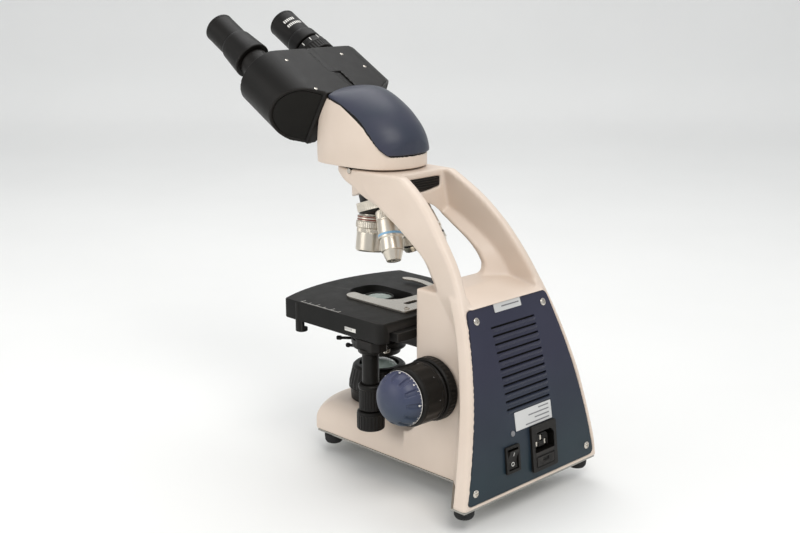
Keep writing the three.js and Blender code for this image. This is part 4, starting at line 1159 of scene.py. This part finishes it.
def make_nosepiece():
    """Fixed plate, turret with its grip ring and seats, and the four objectives."""
    fixed = turned([(0, -18.9), (26, -18.9), (26.8, -18.2), (26.8, -12.5), (0, -12.5)], turret_frame(), 96)
    piece(cut(fixed, rod(9, 190, 250, ON_AXIS)), "nosepiece_fixed_plate", "stand", ALLOY, "nosepiece_plate")
    profile = refined([(28.6, -12), (30.4, -12), (30.5, -11.4), (30.5, -4.9), (30.4, -4.3), (28.6, -4.3),
                       (28.6, -12)], 0.7)
    grip = lathe(profile, turret_frame(), 480, knurl(80, 0.35, -10.8, -5.4, 30))
    piece(grip, "turret_grip", "turret", CHROME, "turret_ring")
    seats = [rod(9.6, -2.8, 9, seat_frame(objective["at"])) for objective in OBJECTIVES.values()]
    cone = turned([(0, -12), (28.3, -12), (28.3, -4), (29.8, -4), (29.6, -3.2), (0, 5.9)], turret_frame(),
                  96, edge=0.4)
    piece(bevel(cut(cone, *seats), 0.3, 2, 50), "turret_body", "turret", ALLOY, "turret_cone")
    for name, objective in OBJECTIVES.items():
        make_objective(name, **objective)


# ---------------- head

HEAD_BOTTOM = 248.6
SEAM = smooth([(-206.3, 303.4), (-192, 299.6), (-176, 291.6), (-164, 283.2), (-155.5, 274.3), (-148.5, 266),
               (-142, 259.6)], 5) + [(-120, 259)]
CROWN = smooth([(-214, 311.6), (-203.5, 312.6), (-195, 313), (-185, 311.8), (-171, 306.4), (-155, 297),
                (-142.5, 286), (-136, 277), (-133, 268.5), (-130, 255)], 5)
FRONT = smooth([(-219, HEAD_BOTTOM), (-221, 256), (-222.9, 265), (-221.8, 275.5), (-219.3, 287),
                (-212.7, 299), (-209.6, 303.6)], 4)
HEAD_PLAN = smooth([(22, -224.6), (31.4, -221), (36, -208), (36.6, -190), (35.3, -172), (32.4, -157),
                    (26, -145.4), (14.6, -137.8), (0, -135.2)], 6)


def head_block(grow):
    """The head's outline in plan, upright below and leaning in towards the top."""
    right = [(x + grow * (1 if x > 1 else 0), y + (grow if y > -160 else 0)) for x, y in HEAD_PLAN]
    plan = right + [(-x, y) for x, y in reversed(right[:-1])]
    rings = []
    for i in range(13):
        z = lerp(HEAD_BOTTOM, 322, i / 12)
        lean = 1 - 0.15 * max(0.0, (z - 262) / 42) ** 1.4
        rings.append([(x * lean, y, z) for x, y in plan])
    return loft(rings)


def dome():
    """Solid under the crowned top of the cover. The crown follows the round rear end of the plan."""
    xs = [lerp(-40, 40, i / 40) for i in range(41)]
    rings = []
    for x in xs:
        back = 38.5 - math.sqrt(max(0.0, 38.5 ** 2 - min(abs(x), 38) ** 2))
        top = [(x, y - back, z - 4.8 * (x / 28) ** 2) for y, z in CROWN]
        rings.append(top + [(x, -120, 240), (x, -240, 240), (x, -240, top[0][2])])
    return loft(rings)


def make_head():
    """Head casting, the cover over its sloping seam, the dark joint at the seam, and a dark ring at the neck
    painted as the shadow in the gap there.
    """
    under_seam = [(-240, 240), (-120, 240)] + SEAM[::-1] + [(-240, 303.4)]
    front_cut = [(-240, 240), (-240, 330), (-206, 330)] + FRONT[::-1]
    body = cut(common(head_block(0), slab_x(under_seam, -45, 45)), slab_x(front_cut, -45, 45))
    stub = rod(21.4, 243.6, 252, ON_AXIS)
    body = cut(union(body, stub), rod(13, 240, 286, ON_AXIS), rod(HINGE_BORE, -30, 5, view_frame()))
    cast(body, 0.8, 5)
    piece(body, "head_casting", "viewing_head", IVORY, "head_body", crease=60)

    lifted = [(y + 0.3, z + 0.9) for y, z in SEAM]
    over_seam = lifted + [(-110, 259.9), (-110, 340), (-206.3, 340)]
    cover = common(head_block(1.3), slab_x(over_seam, -45, 45), dome())
    cast(cover, 0.75, 4)
    piece(cover, "head_cover_shell", "viewing_head", COVER, "head_cover", crease=60)
    seam_low = [(y, z - 1.2) for y, z in SEAM]
    seam_high = [(y, z + 1.6) for y, z in reversed(SEAM)]
    gasket = common(head_block(-0.2), slab_x(seam_low + seam_high, -45, 45))
    piece(gasket, "head_seam", "viewing_head", DARK)
    # Dark ring between platform and head: painted shadow in the gap.
    gap_shadow_ring = slab_z(arc(0, OPTICAL_Y - 2, 31.4, 0, 354, 59), 247.1, HEAD_BOTTOM + 0.2)
    piece(gap_shadow_ring, "head_gap_shadow", "viewing_head", DARK)


def housing_section(side):
    """Section of a prism housing: flat on top, round outside, sloping in underneath."""
    r = HOUSING_HALF
    outer = arc(HOUSING_ROUND, 0, r, 86, -80, 28)
    points = [(0, 0), (0, r - 0.6), (2, r), (HOUSING_ROUND, r)] + outer + [(24, -r + 1.6), (7, -7)]
    return [(side * x, y) for x, y in points]


def slant_frame(side):
    """Frame on the slanted rear face of a prism housing, with Z into the housing."""
    return view_frame(side * 34, 0, 1) @ turn("Y", -side * SLANT) @ upright(-side * SLANT_FOOT, 0)


def make_housing(name, side, reach):
    """Prism housing with its half of the hinge knuckle, its rear cover and the sleeve for the eyepiece."""
    on_tube = view_frame(side * HALF_IPD)
    front, rear = (KNUCKLE_SPLIT + 0.3, HOUSING_END), (1.2, KNUCKLE_SPLIT)
    own, other = (rear, front) if side > 0 else (front, rear)
    body = prism(housing_section(side), 1.2, HOUSING_END, view_frame())
    twin = rod(HOUSING_HALF + 0.2, other[0] - 0.3, other[1] + 0.3, view_frame(), 96)
    slope = block(*sorted((side * SLANT_FOOT, side * 78)), -40, 40, -60, 2, slant_frame(side))
    pocket = prism([(side * x, y) for x, y in slanted_face(2.2)], 1, 3.6, slant_frame(side))
    cut(body, twin, slope, pocket, rod(11.7, 40, 80, on_tube), rod(HINGE_BORE, -2, 80, view_frame()))
    knuckle = cut(rod(HOUSING_HALF - 0.6, own[0], own[1], view_frame(), 96),
                  rod(HINGE_BORE, -2, 80, view_frame()))
    shape = cast(joined([body, knuckle]), 0.75, 4)
    body_name = f"{name}_tube"
    piece(shape, f"{name}_housing_casting", body_name, BLACK, f"{name}_prism_housing", crease=60)
    cover = prism([(side * x, y) for x, y in slanted_face(2.7)], 2.6, 3.9, slant_frame(side))
    piece(bevel(cover, 0.4), f"{name}_prism_cover", body_name, DARK)
    base = turned([(11.9, 66), (14.6, 66), (14.6, 69.2), (13.8, 70), (11.9, 70), (11.9, 66)], on_tube, 96)
    piece(base, f"{name}_tube_seat", body_name, BLACK)
    profile = [(10.4, 58), (11.4, 58), (11.4, 68.3), (13.4, 68.3), (13.4, reach - 0.6), (12.8, reach),
               (10.4, reach), (10.4, 58)]
    piece(turned(profile, on_tube, 96, edge=0.4), f"{name}_sleeve", body_name, BLACK, f"{name}_eyetube")


def slanted_face(inset):
    """Outline of the rear face, in its own plane, drawn in by an inset."""
    run = math.cos(math.radians(SLANT))
    r = HOUSING_HALF - inset
    reach = [(SLANT_FOOT + (HOUSING_ROUND + r * math.cos(a) - 33) / run, r * math.sin(a))
             for a in [math.radians(lerp(74, -74, i / 24)) for i in range(25)]]
    flat = SLANT_FOOT + inset * 0.6
    return [(flat, r * 0.96)] + reach + [(flat, -r * 0.96)]


def make_eyepiece(name, side, body, collar, width, end):
    """Eyepiece from its collar, where it is widest, to its end."""
    on_tube = view_frame(side * HALF_IPD)
    profile = [(0, 76), (10.1, 76), (10.1, collar), (width - 0.6, collar), (width, collar + 0.8),
               (15, 116.6), (14.4, 118.4), (13.7, 119.2), (13.7, end - 4.4), (13.5, end - 3.8),
               (13.8, end - 3.2), (13.8, end - 1.2), (13, end - 0.2), (11.4, end), (9.8, end - 0.8),
               (9.2, end - 3.5), (0, end - 3.5)]
    shape = turned(refined(profile, 1.5), on_tube, 192, knurl(64, 0.12, end - 3.2, end - 1.6, 13), edge=0.4)
    piece(shape, f"{name}_ocular", body, BLACK, f"{name}_eyepiece")
    lens = [(0, end - 3.7), (9.1, end - 3.7)] + smooth([(9.1, end - 3.3), (5, end - 2.2), (0, end - 1.8)], 5)
    piece(lathe(lens, on_tube, 64), f"{name}_eye_lens", body, DARK_GLASS)


def make_diopter():
    """Diopter ring and its marks, and the plain bars on the left eyepiece."""
    profile = refined([(13.7, 86), (16, 86), (16.4, 86.6), (16.4, 96.6), (16.1, 97.6), (15.8, 102.8),
                       (15.2, 103.4), (13.7, 103.4), (13.7, 86)], 0.9)
    place = view_frame(-HALF_IPD)
    grip = lathe(profile, place, 288, knurl(36, 0.5, 87.4, 95.6, 16))
    piece(grip, "diopter_grip", "diopter_control", BLACK, "diopter_ring")
    ticks = [block(15.2, 16.1, -0.4, 0.4, 98.4, 102.2 if i % 3 else 103, place @ turn("Z", 30 * i))
             for i in range(12)]
    piece(joined(ticks), "diopter_marks", "diopter_control", WHITE)
    bars = [block(13.2, 13.78, -0.6, 0.6, row, row + 3.4, place @ turn("Z", 40 + 8 * k))
            for row, count in ((127.5, 8), (134, 6)) for k in range(count)]
    piece(joined(bars), "left_ocular_bars", "left_ocular", WHITE)


def make_housing_screws():
    """Small screws on the flat tops of the housings."""
    for i, (x, out, body) in enumerate(((39, 52, "right_tube"), (39, 9, "right_tube"), (-27, 55, "left_tube"),
                                        (-38, 34, "left_tube"))):
        place = view_frame(x, HOUSING_HALF - 0.1, out) @ turn("X", -90)
        piece(screw(place, 1.7, 0.5), f"housing_screw_{i}", body, STEEL)


# ---------------- assembly

def finish_plain_nodes():
    """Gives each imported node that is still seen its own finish."""
    finishes = {"power_board": BOARD, "lamp": LAMP, "coarse_shaft": STEEL, "fine_shaft": STEEL,
                "focus_pinion": BRASS, "focus_rack": STEEL, "hinge_tube": STEEL, "head_lock_screw": STEEL}
    for name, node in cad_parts.items():
        if not node.hide_render:
            node.data.materials.clear()
            node.data.materials.append(finishes.get(name, BLACK))


make_camera()
make_studio()
make_stand()
make_panel()
make_switch()
make_inlet()
make_illuminator()
make_collars()
make_coarse_knobs()
make_fine_knobs()
make_stage()
make_condenser()
make_nosepiece()
make_head()
make_housing("right", 1, 90.4)
make_housing("left", -1, 103.2)
make_eyepiece("right", 1, "right_tube", 91.2, 17.2, 147)
make_eyepiece("left", -1, "left_ocular", 106, 15.4, 149.5)
make_diopter()
make_housing_screws()
finish_plain_nodes()
